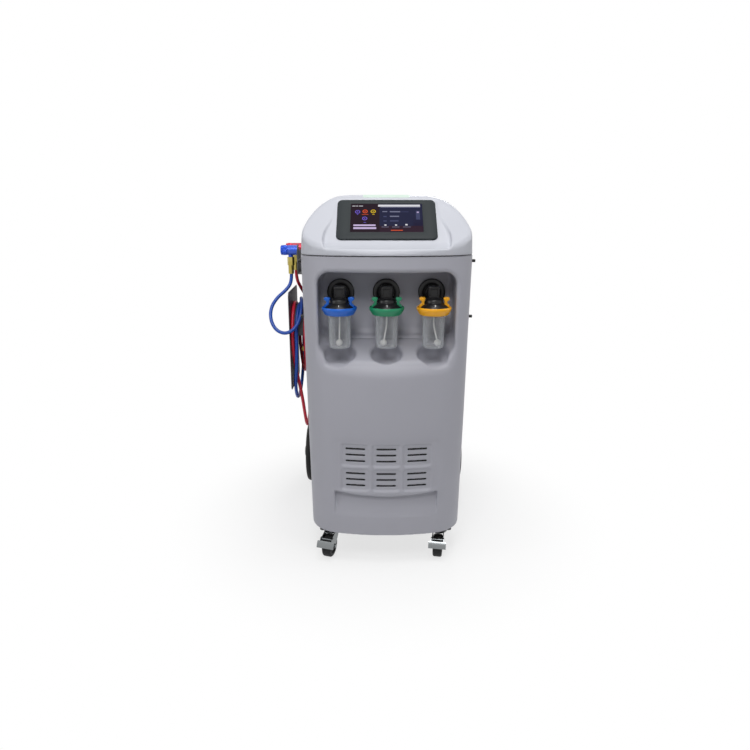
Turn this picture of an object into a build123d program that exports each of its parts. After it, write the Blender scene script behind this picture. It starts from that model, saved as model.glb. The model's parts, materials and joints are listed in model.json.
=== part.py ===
from build123d import *
import math
import os

# Air conditioning recharge station: a wheeled cabinet with three fluid bottles in an alcove, a sloped
# screen on top, two service hoses on its left side, two castors in front and two large wheels behind.
# Millimetres. X runs to the right seen from the front, Y to the rear, Z up from the floor. The origin is
# on the floor, under the middle of the cabinet and wheels.

# Cabinet
SEAM_Z = 1000
FOOT_Z = 104
HALF_AT_SEAM = 263
HALF_AT_FOOT = 248
FRONT_Y = -386
FRONT_SWELL = 7
SWELL_TOP_Z = 750
SWELL_FULL_Z = 480
BACK_Y = 314
BOW_R = 760
CORNER_R = 105
REAR_CORNER_R = 20
WALL = 4
SHEET = 2
FRONT_SEAM_Y = FRONT_Y + 130
REAR_SEAM_Y = BACK_Y - 30
SEAM_GAP = 1
FLANGE_DEPTH = 26
FLANGE_CLEARANCE = 0.3

# Alcove
ALCOVE_HALF = 208
ALCOVE_TOP_Z = 952
ALCOVE_BACK_Y = FRONT_Y + 150
LEDGE_BACK_Z = 750
LEDGE_FRONT_Z = 671
ALCOVE_CORNER_R = 25
POCKET_R = 48
POCKET_FLOOR_Z = 690

# Vents and lower recess
VENT_RECESS_HALF = 165
VENT_RECESS_TOP_Z = 431
VENT_RECESS_FOOT_Z = 262
VENT_RECESS_DEPTH = 1.2
VENT_COLUMNS = 3
VENT_ROWS = 2
VENT_PITCH_X = 98
VENT_PITCH_Z = 84
VENT_TOP_ROW_Z = 382
VENT_W = 88
VENT_H = 73
VENT_R = 9
VENT_DEPTH = 1.2
SLOT_L = 63
SLOT_H = 6.5
SLOT_PITCH = 20.5
SLOTS = 3
GROOVE_HALF = 165
GROOVE_TOP_Z = 255
GROOVE_DIP = 12
GROOVE_FOOT_Z = 171
GROOVE_DEPTH = 14
GROOVE_R = 18

# Hood and screen
APRON_TOP_Z = 1021
APRON_Y = FRONT_Y + 3
SHOULDER_START_Z = 1030
SHOULDER_START_HALF = 261
SHOULDER_MID = (228.4, 1119.3)
SHOULDER_END = (150, 1172)
CROWN_Z = 1177
CROWN_Y = FRONT_Y + 262
HOOD_REAR_Z = 1112
SCREEN_SLOPE = 40
SCREEN_SEAT_Y = FRONT_Y + 72.9
SCREEN_SEAT_Z = 1042.6
FACE_ABOVE_SEAT = 1
RIM_MEET = 68
FACE_TOP = 182
BEZEL_W = 304
BEZEL_H = 177
BEZEL_T = 5.5
BEZEL_R = 17
DISPLAY_W = 220
DISPLAY_H = 127
DISPLAY_START = 29.5
DISPLAY_T = 4
DISPLAY_CLEARANCE = 0.4
MODULE_W = 190
MODULE_H = 100
MODULE_T = 14
DISH_FOOT_HALF = 178
DISH_WIDE_HALF = 192
DISH_MID_HALF = 184
DISH_NARROW_HALF = 168
DISH_TOP_HALF = 158
DISH_FOOT = -90
DISH_WIDE = 2
DISH_MID = 48
DISH_NARROW = 90
DISH_TOP = 188
CREST_RISE = 4.5
CREST_SHIFT = 2
LIGHT_W = 147
LIGHT_H = 15
LIGHT_SEAT_Y = FRONT_Y + 229
LIGHT_SEAT_Z = 1166
LIGHT_TILT = 28
LIGHT_T = 12

# Bottles
BOTTLE_X = (-144, 0, 144)
BOTTLE_Y = FRONT_Y + 60
BOTTLE_FOOT_Z = 720
BOTTLE_TOP_Z = 822
BOTTLE_TOP_R = 35
BOTTLE_FOOT_R = 33
BOTTLE_WALL = 2
BOTTLE_FLANGE_R = 40
BOTTLE_FLANGE_T = 3
RING_R = 53.5
RING_BORE_R = 44.5
RING_H = 18
RING_WEB_T = 3
EAR_W = 15
EAR_D = 14
EAR_TOP_Z = 870
CAP_CLEARANCE = 0.3
CAP_SKIRT_H = 13
DOME_R = 25.5
DOME_H = 13
NECK_W = 37
NECK_D = 26
PLUG_R = 13
PLUG_Z = 878
PLUG_END_Y = ALCOVE_BACK_Y - 13
SOCKET_CLEARANCE = 0.1
WALL_DISC_R = 43
WALL_DISC_T = 8
SOCKET_R = 22
SOCKET_L = 18
DIP_R = 2.5
DIP_BALL_R = 10.5
DIP_BALL_Z = 734
DIP_BALL_SHIFT = (-2, -9, 13)

# Castors
CASTOR_X = 181
CASTOR_Y = -314
CASTOR_TURN = {"left": 17, "right": 10}
CASTOR_H = 100
CASTOR_PLATE_W = 96
CASTOR_PLATE_D = 80
CASTOR_PLATE_T = 3.5
CASTOR_HEAD_R = 28
CASTOR_HEAD_H = 10
CASTOR_WHEEL_R = 37.5
CASTOR_WHEEL_W = 30
CASTOR_TRAIL = 27
CASTOR_CROWN_T = 4.5
CASTOR_CHEEK_T = 2.5
CASTOR_SIDE_GAP = 1.5
CASTOR_AXLE_R = 4
KINGPIN_R = 6
KINGPIN_HEAD_R = 9
RUNNING_CLEARANCE = 0.06
SWIVEL_GAP = 0.5
PEDAL_PIN_U = 50
PEDAL_PIN_Z = 72
PEDAL_PIN_R = 2.5
PEDAL_W = 58
PEDAL_IN_R = 44
PEDAL_T = 2.5
PEDAL_EAR_T = 2.2
PEDAL_LOW_DEG = 15
PEDAL_HIGH_DEG = 44

# Rear wheels
WHEEL_R = 125
WHEEL_W = 50
WHEEL_OUT_X = 322
WHEEL_Y = 268
TYRE_SEAT_R = 82
TYRE_ROUND = 14
RIM_WEB_T = 12
RIM_HUB_R = 24
REAR_AXLE_R = 10
AXLE_COLLAR_R = 17
AXLE_WASHER_R = 14
AXLE_WASHER_T = 1.5
AXLE_END = 6
TREAD_STEP = 8
TREAD_GROOVE_W = 2
TREAD_GROOVE_D = 2
RIM_LIP_T = 6
RIM_INSET = 3
HUB_SEAT = 8
HUB_RECESS_R = 15
HUB_CAP_R = 24
HUB_CAP_T = 3
HUB_CAP_ROUND = 5
HUB_CAP_OUT_X = 335

# Base frame
PAN_T = 3
PAN_INSET = 6.5
PAN_FLANGE_H = 34
MAST_Y = -190
MAST_HALF = 215
MAST_TOP_Z = 960
AXLE_BLOCK_W = 30
AXLE_BLOCK_D = 32
AXLE_BLOCK_RISE = 18

# Left side: hose holder and coupler bracket
HOLDER_OUT_X = -332
HOLDER_Y0 = FRONT_Y + 283
HOLDER_Y1 = FRONT_Y + 518
HOLDER_Z0 = 510
HOLDER_Z1 = 857
HOLDER_PLATE_R = 16
DRUM_R = 95
DRUM_Y = 14
DRUM_Z = 705
BRACKET_OUT_X = -302
BRACKET_Y0 = FRONT_Y + 325
BRACKET_Y1 = FRONT_Y + 505
BRACKET_Z0 = 915
BRACKET_Z1 = 992
PARK_Z = 995
LUG_R = 21
STUB_R = 8
STUB_L = 18
COUPLER_Y = {"blue": FRONT_Y + 350, "red": FRONT_Y + 480}
COUPLER_R = 17
COUPLER_END_X = -359
KNOB_L = 24
KNOB_GAP = 0.5
SPINDLE_R = 5
BOSS_R = 8
FITTING_X = -326
FITTING_HEX = 24
FITTING_L = 34
CRIMP_R = 9.5
CRIMP_END_Z = 915
HOSE_R = 6
PORT_R = 11
PORT_FOOT_R = 16
RED_PORT = (-276, 70, 576)
BLUE_PORT = (-294, 30, 640)
PORT_STEM_L = 34
PORT_BEND = 28

# Hose routes, from the coupler's crimp to the port. The points stay as chosen.
BLUE_ROUTE = [
    (-326, -36, 915), (-326, -36, 884), (-347, -49, 857), (-375, -67, 835), (-395, -86, 802),
    (-394, -106, 763), (-374, -120, 730), (-340, -126, 719), (-308, -119, 737), (-293, -100, 770),
    (-292, -66, 803), (-296, -22, 822), (-302, 24, 823), (-307, 74, 806), (-309, 112, 760),
    (-309, 119, 690), (-310, 121, 615), (-315, 117, 535), (-319, 84, 476), (-320, 18, 453),
    (-320, -50, 470), (-319, -88, 530), (-311, -92, 610), (-309.5, -90, 690), (-309, -87.5, 748),
    (-306, -28, 806.5), (-298, 56, 806.5), (-294, 115.5, 748), (-294, 118, 704), (-294, 100, 664),
    (-294, 68, 640), BLUE_PORT,
]
RED_ROUTE = [
    (-326, 94, 915), (-326, 94, 882), (-312, 108, 848), (-294, 124, 812), (-282, 134, 762),
    (-280, 137, 690), (-281, 139, 620), (-285, 143, 550), (-290, 147, 470), (-295, 140, 396),
    (-295, 112, 344), (-295, 61, 325), (-295, 12, 342), (-297, -20, 396), (-302, -42, 470),
    (-313, -60, 550), (-322, -79, 624), (-323.5, -89, 690), (-323, -87.5, 748), (-323, -28, 806.5),
    (-323, 56, 806.5), (-323, 115.5, 748), (-323, 117, 690), (-321, 106, 632), (-312, 76, 580),
    (-300, 26, 556), (-288, -28, 566), (-281, -70, 612), (-279, -90, 672), (-279, -87.5, 748),
    (-279, -28, 806.5), (-277, 56, 806.5), (-276, 115.5, 748), (-275, 118, 702), (-275, 106, 664),
    (-276, 86, 632), (-276, 70, 606), RED_PORT,
]

# Push handle, inlet, fan
HANDLE_R = 12.5
HANDLE_HALF = 190
HANDLE_Z = 960
HANDLE_Y = 370
HANDLE_BEND_R = 40
HANDLE_FOOT_R = 26
HANDLE_FOOT_T = 5
INLET_X = 150
INLET_Z = 200
INLET_W = 50
INLET_H = 70
ROCKER_W = 20
ROCKER_H = 26
ROCKER_GAP = 0.5
FAN_X = 0
FAN_Z = 400
FAN_SIZE = 140
FAN_T = 26
FAN_ROTOR_R = 62
FAN_HUB_R = 22
FAN_SHAFT_R = 3
FAN_BLADES = 7
FAN_BLADE_T = 3
FAN_BLADE_D = 16
FAN_BLADE_PITCH = 35
FAN_ARM_W = 10
FAN_ARM_T = 4
FAN_SLOT_RINGS = (18, 32, 46)
FAN_SLOT_HALF = 50
FAN_SLOT_H = 6
INLET_PROUD = 3
INLET_DEPTH = 32
INLET_LIP = 5
PLUG_SOCKET_W = 28
PLUG_SOCKET_H = 20
PLUG_SOCKET_D = 20
PLUG_SOCKET_Z = -16
BLADE_PITCH = 7
BLADE_W = 2
BLADE_H = 6
ROCKER_PIN_R = 1.5
ROCKER_PIN_DEPTH = 4
ROCKER_WELL_D = 18

# Inner units
TANK_R = 105
TANK_Y = 60
TANK_Z0 = 160
TANK_L = 400
TANK_DOME_R = 45
TANK_FOOT_R = 60
TANK_FOOT_H = 10
TANK_VALVE_R = 14
TANK_VALVE_H = 35
SCALE_HALF = 110
SCALE_PLATE_T = 5
LOAD_CELL_W = 120
LOAD_CELL_D = 30
COMPRESSOR_X = -150
COMPRESSOR_Y = -110
COMPRESSOR_R = 62
COMPRESSOR_H = 190
COMPRESSOR_DOME_R = 25
COMPRESSOR_FOOT_W = 132
COMPRESSOR_FOOT_D = 110
COMPRESSOR_FOOT_T = 8
PUMP_X = 170
PUMP_FRONT_Y = -175
PUMP_CASE_W = 100
PUMP_CASE_D = 85
PUMP_CASE_H = 150
PUMP_MOTOR_R = 48
PUMP_MOTOR_L = 170
PUMP_SHAFT_H = 80
PUMP_FOOT_W = 80
PUMP_FOOT_L = 160
PUMP_FOOT_H = 40
DRIER_X = -120
DRIER_R = 38
DRIER_Z0 = 640
DRIER_L = 220
DRIER_END_R = 12
DRIER_OFF = 40
CLAMP_Z = (680, 800)
CLAMP_W = 40
CLAMP_H = 20
MANIFOLD_X0 = -40
MANIFOLD_X1 = 180
MANIFOLD_Z0 = 700
MANIFOLD_H = 50
MANIFOLD_D = 40
VALVES = 5
VALVE_PITCH = 42
VALVE_R = 16
VALVE_H = 50
TRAY_X0 = -60
TRAY_X1 = 180
TRAY_Z0 = 830
TRAY_Z1 = 945
TRAY_D = 22
TRAY_WALL = 4
BOARD_MARGIN = 10
BOARD_T = 3

# Front panel screws
SCREW_Y = FRONT_SEAM_Y - 15
SCREW_Z = (979, 807)
SCREW_HEAD_R = 4.8
SCREW_HEAD_L = 9
SCREW_R = 2.5
SCREW_CLEARANCE = 0.3

PAN_Z0 = CASTOR_H
PAN_TOP_Z = PAN_Z0 + PAN_T
FAR = 2000
SIDES = {"left": -1, "right": 1}


def block(x0, x1, y0, y1, z0, z1):
    """A box between two corners."""
    middle = Pos((x0 + x1) / 2, (y0 + y1) / 2, (z0 + z1) / 2)
    return middle * Box(x1 - x0, y1 - y0, z1 - z0)


def rod(start, end, radius):
    """A cylinder between two points."""
    reach = Vector(*end) - Vector(*start)
    return extrude(Plane(origin=start, z_dir=reach) * Circle(radius), reach.length)


def slab(face, direction, length):
    """A face pushed along a direction, whichever way the face looks."""
    return extrude(face, amount=length, dir=direction)


def tube(route, radius, radii):
    """A round tube along straight runs joined by tangent arcs."""
    path = FilletPolyline(*route, radius=radii)
    start = Plane(origin=path @ 0, z_dir=path % 0)
    return sweep(start * Circle(radius), path)


def arc_radii(route):
    """The largest arc that the two runs of each corner leave room for."""
    radii = []
    for before, point, after in zip(route, route[1:], route[2:]):
        run_in = Vector(*point) - Vector(*before)
        run_out = Vector(*after) - Vector(*point)
        half_turn = math.radians(run_in.get_angle(run_out)) / 2
        radii.append(0.45 * min(run_in.length, run_out.length) / math.tan(half_turn))
    return radii


def half_width(z):
    """Half the cabinet's width at a height."""
    return HALF_AT_FOOT + (HALF_AT_SEAM - HALF_AT_FOOT) * (z - FOOT_Z) / (SEAM_Z - FOOT_Z)


def front_at(z):
    """Where the middle of the cabinet's front lies at a height."""
    share = (SWELL_TOP_Z - z) / (SWELL_TOP_Z - SWELL_FULL_Z)
    return FRONT_Y - FRONT_SWELL * min(max(share, 0), 1)


def plan(half, front, inset):
    """The cabinet's outline from above: a bowed front, round corners and a flat back."""
    corner = CORNER_R - inset
    rear_corner = max(REAR_CORNER_R - inset, 2)
    side = half - inset
    back = BACK_Y - inset
    bow = BOW_R - inset
    bow_y = front + BOW_R
    corner_x = side - corner
    corner_y = bow_y - math.sqrt((bow - corner) ** 2 - corner_x ** 2)
    lean = math.degrees(math.asin(corner_x / (bow - corner)))
    rear_x = side - rear_corner
    rear_y = back - rear_corner
    edges = [
        CenterArc((0, bow_y), bow, 270 - lean, 2 * lean),
        CenterArc((corner_x, corner_y), corner, 270 + lean, 90 - lean),
        Line((side, corner_y), (side, rear_y)),
        CenterArc((rear_x, rear_y), rear_corner, 0, 90),
        Line((rear_x, back), (-rear_x, back)),
        CenterArc((-rear_x, rear_y), rear_corner, 90, 90),
        Line((-side, rear_y), (-side, corner_y)),
        CenterArc((-corner_x, corner_y), corner, 180, 90 - lean),
    ]
    return make_face(edges)


def body_form(inset):
    """The cabinet's solid outer form, drawn in by an inset all round."""
    levels = (FOOT_Z, SWELL_FULL_Z, SWELL_TOP_Z, SEAM_Z)
    outlines = [Pos(0, 0, z) * plan(half_width(z), front_at(z), inset) for z in levels]
    return loft(outlines, ruled=True)


def rounded_bar(width, height, radius, x, z):
    """A bar with round corners that runs through the cabinet's front."""
    face = Plane(origin=(x, FRONT_Y - 60, z), x_dir=(1, 0, 0), z_dir=(0, 1, 0)) * RectangleRounded(
        width, height, radius
    )
    return extrude(face, 110)


def alcove_form(grow):
    """The room of the alcove, grown by a wall, with its sloped ledge and three pockets."""
    slope = (LEDGE_BACK_Z - LEDGE_FRONT_Z) / (ALCOVE_BACK_Y - FRONT_Y)
    drop = grow * math.hypot(1, slope)
    mouth_y = FRONT_Y - 40
    back_y = ALCOVE_BACK_Y + grow
    top_z = ALCOVE_TOP_Z + grow
    ledge = [
        (mouth_y, LEDGE_FRONT_Z - drop - slope * 40),
        (back_y, LEDGE_BACK_Z - drop + slope * grow),
    ]
    profile = Plane.YZ * Polygon(
        (mouth_y, top_z), (back_y, top_z), ledge[1], ledge[0], align=None
    )
    half = ALCOVE_HALF + grow
    room = extrude(profile, half, both=True)
    long_edges = [edge for edge in room.edges() if abs(edge.center().X) > half - 1 and
                  abs((edge % 0.5).Y) > 0.5]
    room = fillet(long_edges, ALCOVE_CORNER_R + grow)
    for x in BOTTLE_X:
        room += rod((x, BOTTLE_Y, POCKET_FLOOR_Z - grow), (x, BOTTLE_Y, LEDGE_BACK_Z + 20), POCKET_R + grow)
    return room


def groove_form(grow):
    """The lower recess: deep under its curved top lip, running out at its foot."""
    top_z = GROOVE_TOP_Z + grow
    foot_z = GROOVE_FOOT_Z - grow
    half = GROOVE_HALF + grow
    outline = [
        Line((-half, foot_z), (half, foot_z)),
        Line((half, foot_z), (half, top_z)),
        ThreePointArc((half, top_z), (0, top_z - GROOVE_DIP), (-half, top_z)),
        Line((-half, top_z), (-half, foot_z)),
    ]
    upright = Plane(origin=(0, FRONT_Y + 60, 0), x_dir=(1, 0, 0), z_dir=(0, -1, 0))
    front_shape = slab(upright * make_face(outline), (0, -1, 0), 140)
    foot_edges = front_shape.edges().filter_by(Axis.Y).group_by(Axis.Z)[0]
    front_shape = fillet(foot_edges, GROOVE_R + grow)
    # The bow of the front is followed by a deep form whose face leans out towards the foot.
    levels = ((foot_z - 1, 0), (top_z + 1, GROOVE_DEPTH))
    floor = [Pos(0, 0, z) * plan(half_width(z), front_at(z), depth + grow) for z, depth in levels]
    return front_shape - loft(floor, ruled=True)


def front_panel():
    """The plastic front with the alcove's tub, the vents and the lower recess."""
    outer = body_form(0)
    front_room = block(-FAR, FAR, -FAR, FRONT_SEAM_Y, 0, FAR)
    panel = (outer - body_form(WALL)) & front_room
    panel += alcove_form(WALL) & outer
    panel += groove_form(WALL) & outer & front_room
    panel -= alcove_form(0)
    panel -= groove_form(0)
    recess_h = VENT_RECESS_TOP_Z - VENT_RECESS_FOOT_Z
    recess_z = (VENT_RECESS_TOP_Z + VENT_RECESS_FOOT_Z) / 2
    recess = rounded_bar(2 * VENT_RECESS_HALF, recess_h, VENT_R, 0, recess_z)
    panel -= recess - body_form(VENT_RECESS_DEPTH)
    pads = Part()
    slots = Part()
    for row in range(VENT_ROWS):
        row_z = VENT_TOP_ROW_Z - row * VENT_PITCH_Z
        for column in range(VENT_COLUMNS):
            x = (column - (VENT_COLUMNS - 1) / 2) * VENT_PITCH_X
            pads += rounded_bar(VENT_W, VENT_H, VENT_R, x, row_z)
            for slot in range(SLOTS):
                slot_z = row_z + (slot - (SLOTS - 1) / 2) * SLOT_PITCH
                slots += rounded_bar(SLOT_L, SLOT_H, SLOT_H / 2.1, x, slot_z)
    panel -= pads - body_form(VENT_RECESS_DEPTH + VENT_DEPTH)
    panel -= slots
    for side in SIDES.values():
        for z in SCREW_Z:
            panel -= rod((side * 200, SCREW_Y, z), (side * 300, SCREW_Y, z), SCREW_R + SCREW_CLEARANCE)
    return panel


def side_panel(side):
    """A sheet steel side with a flange behind the front panel and a hole for the axle."""
    ends = sorted((side * 100, side * FAR))
    skin = body_form(0) - body_form(SHEET)
    panel = skin & block(*ends, FRONT_SEAM_Y + SEAM_GAP, REAR_SEAM_Y, 0, FAR)
    inset = WALL + FLANGE_CLEARANCE
    flange = body_form(inset) - body_form(inset + SHEET)
    flange &= block(*ends, FRONT_SEAM_Y - FLANGE_DEPTH, FRONT_SEAM_Y + SEAM_GAP + SHEET, 0, FAR)
    joggle = body_form(0) - body_form(inset + SHEET)
    joggle &= block(*ends, FRONT_SEAM_Y + SEAM_GAP, FRONT_SEAM_Y + SEAM_GAP + SHEET, 0, FAR)
    panel += flange
    panel += joggle
    panel -= rod((side * 200, WHEEL_Y, WHEEL_R), (side * 300, WHEEL_Y, WHEEL_R), REAR_AXLE_R + 1)
    for z in SCREW_Z:
        panel -= rod((side * 200, SCREW_Y, z), (side * 300, SCREW_Y, z), SCREW_R)
    return panel


def rear_panel():
    """The sheet steel back, with openings for the fan and the inlet."""
    panel = (body_form(0) - body_form(SHEET)) & block(-FAR, FAR, REAR_SEAM_Y + SEAM_GAP, FAR, 0, FAR)
    through = (BACK_Y - 2 * REAR_CORNER_R, BACK_Y + REAR_CORNER_R)
    for ring in FAN_SLOT_RINGS:
        for z in (FAN_Z - ring, FAN_Z + ring):
            panel -= block(FAN_X - FAN_SLOT_HALF, FAN_X + FAN_SLOT_HALF, *through,
                           z - FAN_SLOT_H / 2, z + FAN_SLOT_H / 2)
    half_w = INLET_W / 2 - INLET_LIP + 1
    half_h = INLET_H / 2 - INLET_LIP + 1
    return panel - block(INLET_X - half_w, INLET_X + half_w, *through, INLET_Z - half_h, INLET_Z + half_h)


def screen_plane(lift):
    """The screen's sloped plane, lifted off its seat. Its x runs right and its y up the slope."""
    slope = math.radians(SCREEN_SLOPE)
    normal = (0, -math.sin(slope), math.cos(slope))
    origin = (0, SCREEN_SEAT_Y + lift * normal[1], SCREEN_SEAT_Z + lift * normal[2])
    return Plane(origin=origin, x_dir=(1, 0, 0), z_dir=normal)


def hood_form(inset):
    """The hood's outer form: side profile, front outline and plan crossed, less the screen's dish."""
    slope = math.radians(SCREEN_SLOPE)
    lift = FACE_ABOVE_SEAT
    face_y = SCREEN_SEAT_Y - lift * math.sin(slope)
    face_z = SCREEN_SEAT_Z + lift * math.cos(slope)
    meet = (face_y + RIM_MEET * math.cos(slope), face_z + RIM_MEET * math.sin(slope) - inset * 1.2)
    top = (face_y + FACE_TOP * math.cos(slope), face_z + FACE_TOP * math.sin(slope) - inset * 1.2)
    crown = (CROWN_Y, CROWN_Z - inset)
    crest = ((top[0] + crown[0]) / 2 - CREST_SHIFT, (top[1] + crown[1]) / 2 + CREST_RISE)
    nose = (APRON_Y + inset, APRON_TOP_Z - inset)
    tail = (BACK_Y - inset, HOOD_REAR_Z - inset)
    profile = [
        Line((FRONT_Y - 30, SEAM_Z), (FRONT_Y - 30, nose[1])),
        Line((FRONT_Y - 30, nose[1]), nose),
        Line(nose, meet),
        Line(meet, top),
        ThreePointArc(top, crest, crown),
        Line(crown, tail),
        Line(tail, (tail[0], SEAM_Z)),
        Line((tail[0], SEAM_Z), (FRONT_Y - 30, SEAM_Z)),
    ]
    side_shape = extrude(Plane.YZ * make_face(profile), FAR, both=True)
    foot_x = HALF_AT_SEAM - inset
    start = (SHOULDER_START_HALF - inset, SHOULDER_START_Z)
    mid = (SHOULDER_MID[0] - 0.8 * inset, SHOULDER_MID[1] - 0.6 * inset)
    end = (SHOULDER_END[0] - 0.2 * inset, SHOULDER_END[1] - inset)
    outline = [
        Line((-foot_x, SEAM_Z), (foot_x, SEAM_Z)),
        Line((foot_x, SEAM_Z), start),
        ThreePointArc(start, mid, end),
        ThreePointArc(end, (0, CROWN_Z - inset), (-end[0], end[1])),
        ThreePointArc((-end[0], end[1]), (-mid[0], mid[1]), (-start[0], start[1])),
        Line((-start[0], start[1]), (-foot_x, SEAM_Z)),
    ]
    front_shape = extrude(Plane.XZ * make_face(outline), FAR, both=True)
    plan_shape = extrude(Pos(0, 0, SEAM_Z) * plan(HALF_AT_SEAM, FRONT_Y, inset), 300)
    return (plan_shape & front_shape & side_shape) - dish_form(inset)


def dish_form(inset):
    """The room above the screen's seat, widest low down, where the rim round it stands highest."""
    half = [width + inset for width in (DISH_FOOT_HALF, DISH_WIDE_HALF, DISH_MID_HALF,
                                        DISH_NARROW_HALF, DISH_TOP_HALF)]
    edges = []
    for side in SIDES.values():
        edges += [
            Line((0, DISH_FOOT), (side * half[0], DISH_FOOT)),
            Line((side * half[0], DISH_FOOT), (side * half[1], DISH_WIDE)),
            ThreePointArc((side * half[1], DISH_WIDE), (side * half[2], DISH_MID),
                          (side * half[3], DISH_NARROW)),
            Line((side * half[3], DISH_NARROW), (side * half[4], DISH_TOP + inset)),
            Line((side * half[4], DISH_TOP + inset), (0, DISH_TOP + inset)),
        ]
    outline = make_face(edges)
    slope = math.radians(SCREEN_SLOPE)
    shelf_z = APRON_TOP_Z - inset
    drop = inset / math.cos(slope)
    bend_y = SCREEN_SEAT_Y - (SCREEN_SEAT_Z - drop - shelf_z) / math.tan(slope)
    reach = DISH_TOP - DISH_FOOT
    outside_y = FRONT_Y - CORNER_R
    floor = Plane.YZ * Polygon(
        (outside_y, shelf_z), (bend_y, shelf_z),
        (bend_y + reach * math.cos(slope), shelf_z + reach * math.sin(slope)),
        (outside_y, shelf_z + reach), align=None
    )
    above = extrude(floor, FAR, both=True)
    return slab(screen_plane(DISH_FOOT) * outline, screen_plane(0).z_dir, 2 * DISH_TOP) & above


def hood():
    """The hood's shell, with windows for the display and the light bar."""
    shell = hood_form(0) - hood_form(WALL)
    middle = DISPLAY_START + DISPLAY_H / 2
    window = screen_plane(-WALL - 30) * Pos(0, middle, 0)
    shell -= extrude(window * Rectangle(MODULE_W + 2, MODULE_H + 2), 60)
    shell -= light_form(DISPLAY_CLEARANCE)
    return shell


def bezel():
    """The dark frame round the display."""
    up = screen_plane(0).z_dir
    frame = screen_plane(0) * Pos(0, BEZEL_H / 2, 0)
    plate = slab(frame * RectangleRounded(BEZEL_W, BEZEL_H, BEZEL_R), up, BEZEL_T)
    middle = screen_plane(-1) * Pos(0, DISPLAY_START + DISPLAY_H / 2, 0)
    window = Rectangle(DISPLAY_W + 2 * DISPLAY_CLEARANCE, DISPLAY_H + 2 * DISPLAY_CLEARANCE)
    return plate - extrude(middle * window, BEZEL_T + 2)


def display():
    """The touch display with its module behind."""
    seat = screen_plane(0) * Pos(0, DISPLAY_START + DISPLAY_H / 2, 0)
    glass = extrude(seat * Rectangle(DISPLAY_W, DISPLAY_H), DISPLAY_T)
    back = screen_plane(-MODULE_T) * Pos(0, DISPLAY_START + DISPLAY_H / 2, 0)
    return glass + extrude(back * Rectangle(MODULE_W, MODULE_H), MODULE_T)


def light_form(grow):
    """The light bar's block, grown by a clearance for its slot in the hood."""
    seat = Plane(
        origin=(0, LIGHT_SEAT_Y, LIGHT_SEAT_Z), x_dir=(1, 0, 0),
        z_dir=(0, -math.sin(math.radians(LIGHT_TILT)), math.cos(math.radians(LIGHT_TILT)))
    )
    face = RectangleRounded(LIGHT_W + 2 * grow, LIGHT_H + 2 * grow, 4)
    return extrude(seat * Pos(0, 0, -LIGHT_T / 2) * face, LIGHT_T)


def push_handle():
    """The bent tube behind the cabinet, with a foot plate at each end."""
    route = [
        (-HANDLE_HALF, BACK_Y + HANDLE_FOOT_T, HANDLE_Z), (-HANDLE_HALF, HANDLE_Y, HANDLE_Z),
        (HANDLE_HALF, HANDLE_Y, HANDLE_Z), (HANDLE_HALF, BACK_Y + HANDLE_FOOT_T, HANDLE_Z)
    ]
    grip = tube(route, HANDLE_R, HANDLE_BEND_R)
    for side in SIDES.values():
        x = side * HANDLE_HALF
        grip += rod((x, BACK_Y, HANDLE_Z), (x, BACK_Y + HANDLE_FOOT_T, HANDLE_Z), HANDLE_FOOT_R)
    return grip


def power_inlet():
    """The inlet's frame with a socket below and a well for the rocker above."""
    front = BACK_Y + INLET_PROUD
    half_w = INLET_W / 2
    half_h = INLET_H / 2
    frame = block(INLET_X - half_w, INLET_X + half_w, BACK_Y, front, INLET_Z - half_h, INLET_Z + half_h)
    frame += block(INLET_X - half_w + INLET_LIP, INLET_X + half_w - INLET_LIP, BACK_Y - INLET_DEPTH, BACK_Y,
                   INLET_Z - half_h + INLET_LIP, INLET_Z + half_h - INLET_LIP)
    socket_z = INLET_Z + PLUG_SOCKET_Z
    floor_y = BACK_Y - PLUG_SOCKET_D
    frame -= block(INLET_X - PLUG_SOCKET_W / 2, INLET_X + PLUG_SOCKET_W / 2, floor_y, front,
                   socket_z - PLUG_SOCKET_H / 2, socket_z + PLUG_SOCKET_H / 2)
    for step in (-1, 0, 1):
        x = INLET_X + step * BLADE_PITCH
        frame += block(x - BLADE_W / 2, x + BLADE_W / 2, floor_y, BACK_Y - BLADE_W * 2,
                       socket_z - BLADE_H / 2, socket_z + BLADE_H / 2)
    well_w = ROCKER_W / 2 + ROCKER_GAP
    well_h = ROCKER_H / 2 + ROCKER_GAP
    centre_z = INLET_Z + INLET_H / 4
    frame -= block(INLET_X - well_w, INLET_X + well_w, BACK_Y - ROCKER_WELL_D, front,
                   centre_z - well_h, centre_z + well_h)
    pin_y = BACK_Y - ROCKER_PIN_DEPTH
    return frame + rod((INLET_X - well_w, pin_y, centre_z), (INLET_X + well_w, pin_y, centre_z), ROCKER_PIN_R)


def rocker():
    """The power switch's rocker, which tilts on the pin in its well."""
    centre_z = INLET_Z + INLET_H / 4
    y = BACK_Y - ROCKER_PIN_DEPTH
    half = ROCKER_H / 2 - ROCKER_PIN_R
    outline = Plane(origin=(INLET_X - ROCKER_W / 2, 0, 0), x_dir=(0, 1, 0), z_dir=(1, 0, 0)) * Polygon(
        (y - 4, centre_z - 5), (y + 5, centre_z - half), (y + 9, centre_z - half),
        (y + 6, centre_z), (y + 9, centre_z + half), (y + 5, centre_z + half), (y - 4, centre_z + 5),
        align=None
    )
    body = slab(outline, (1, 0, 0), ROCKER_W)
    bore = ROCKER_PIN_R + RUNNING_CLEARANCE
    return body - rod((INLET_X - ROCKER_W, y, centre_z), (INLET_X + ROCKER_W, y, centre_z), bore)


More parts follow.
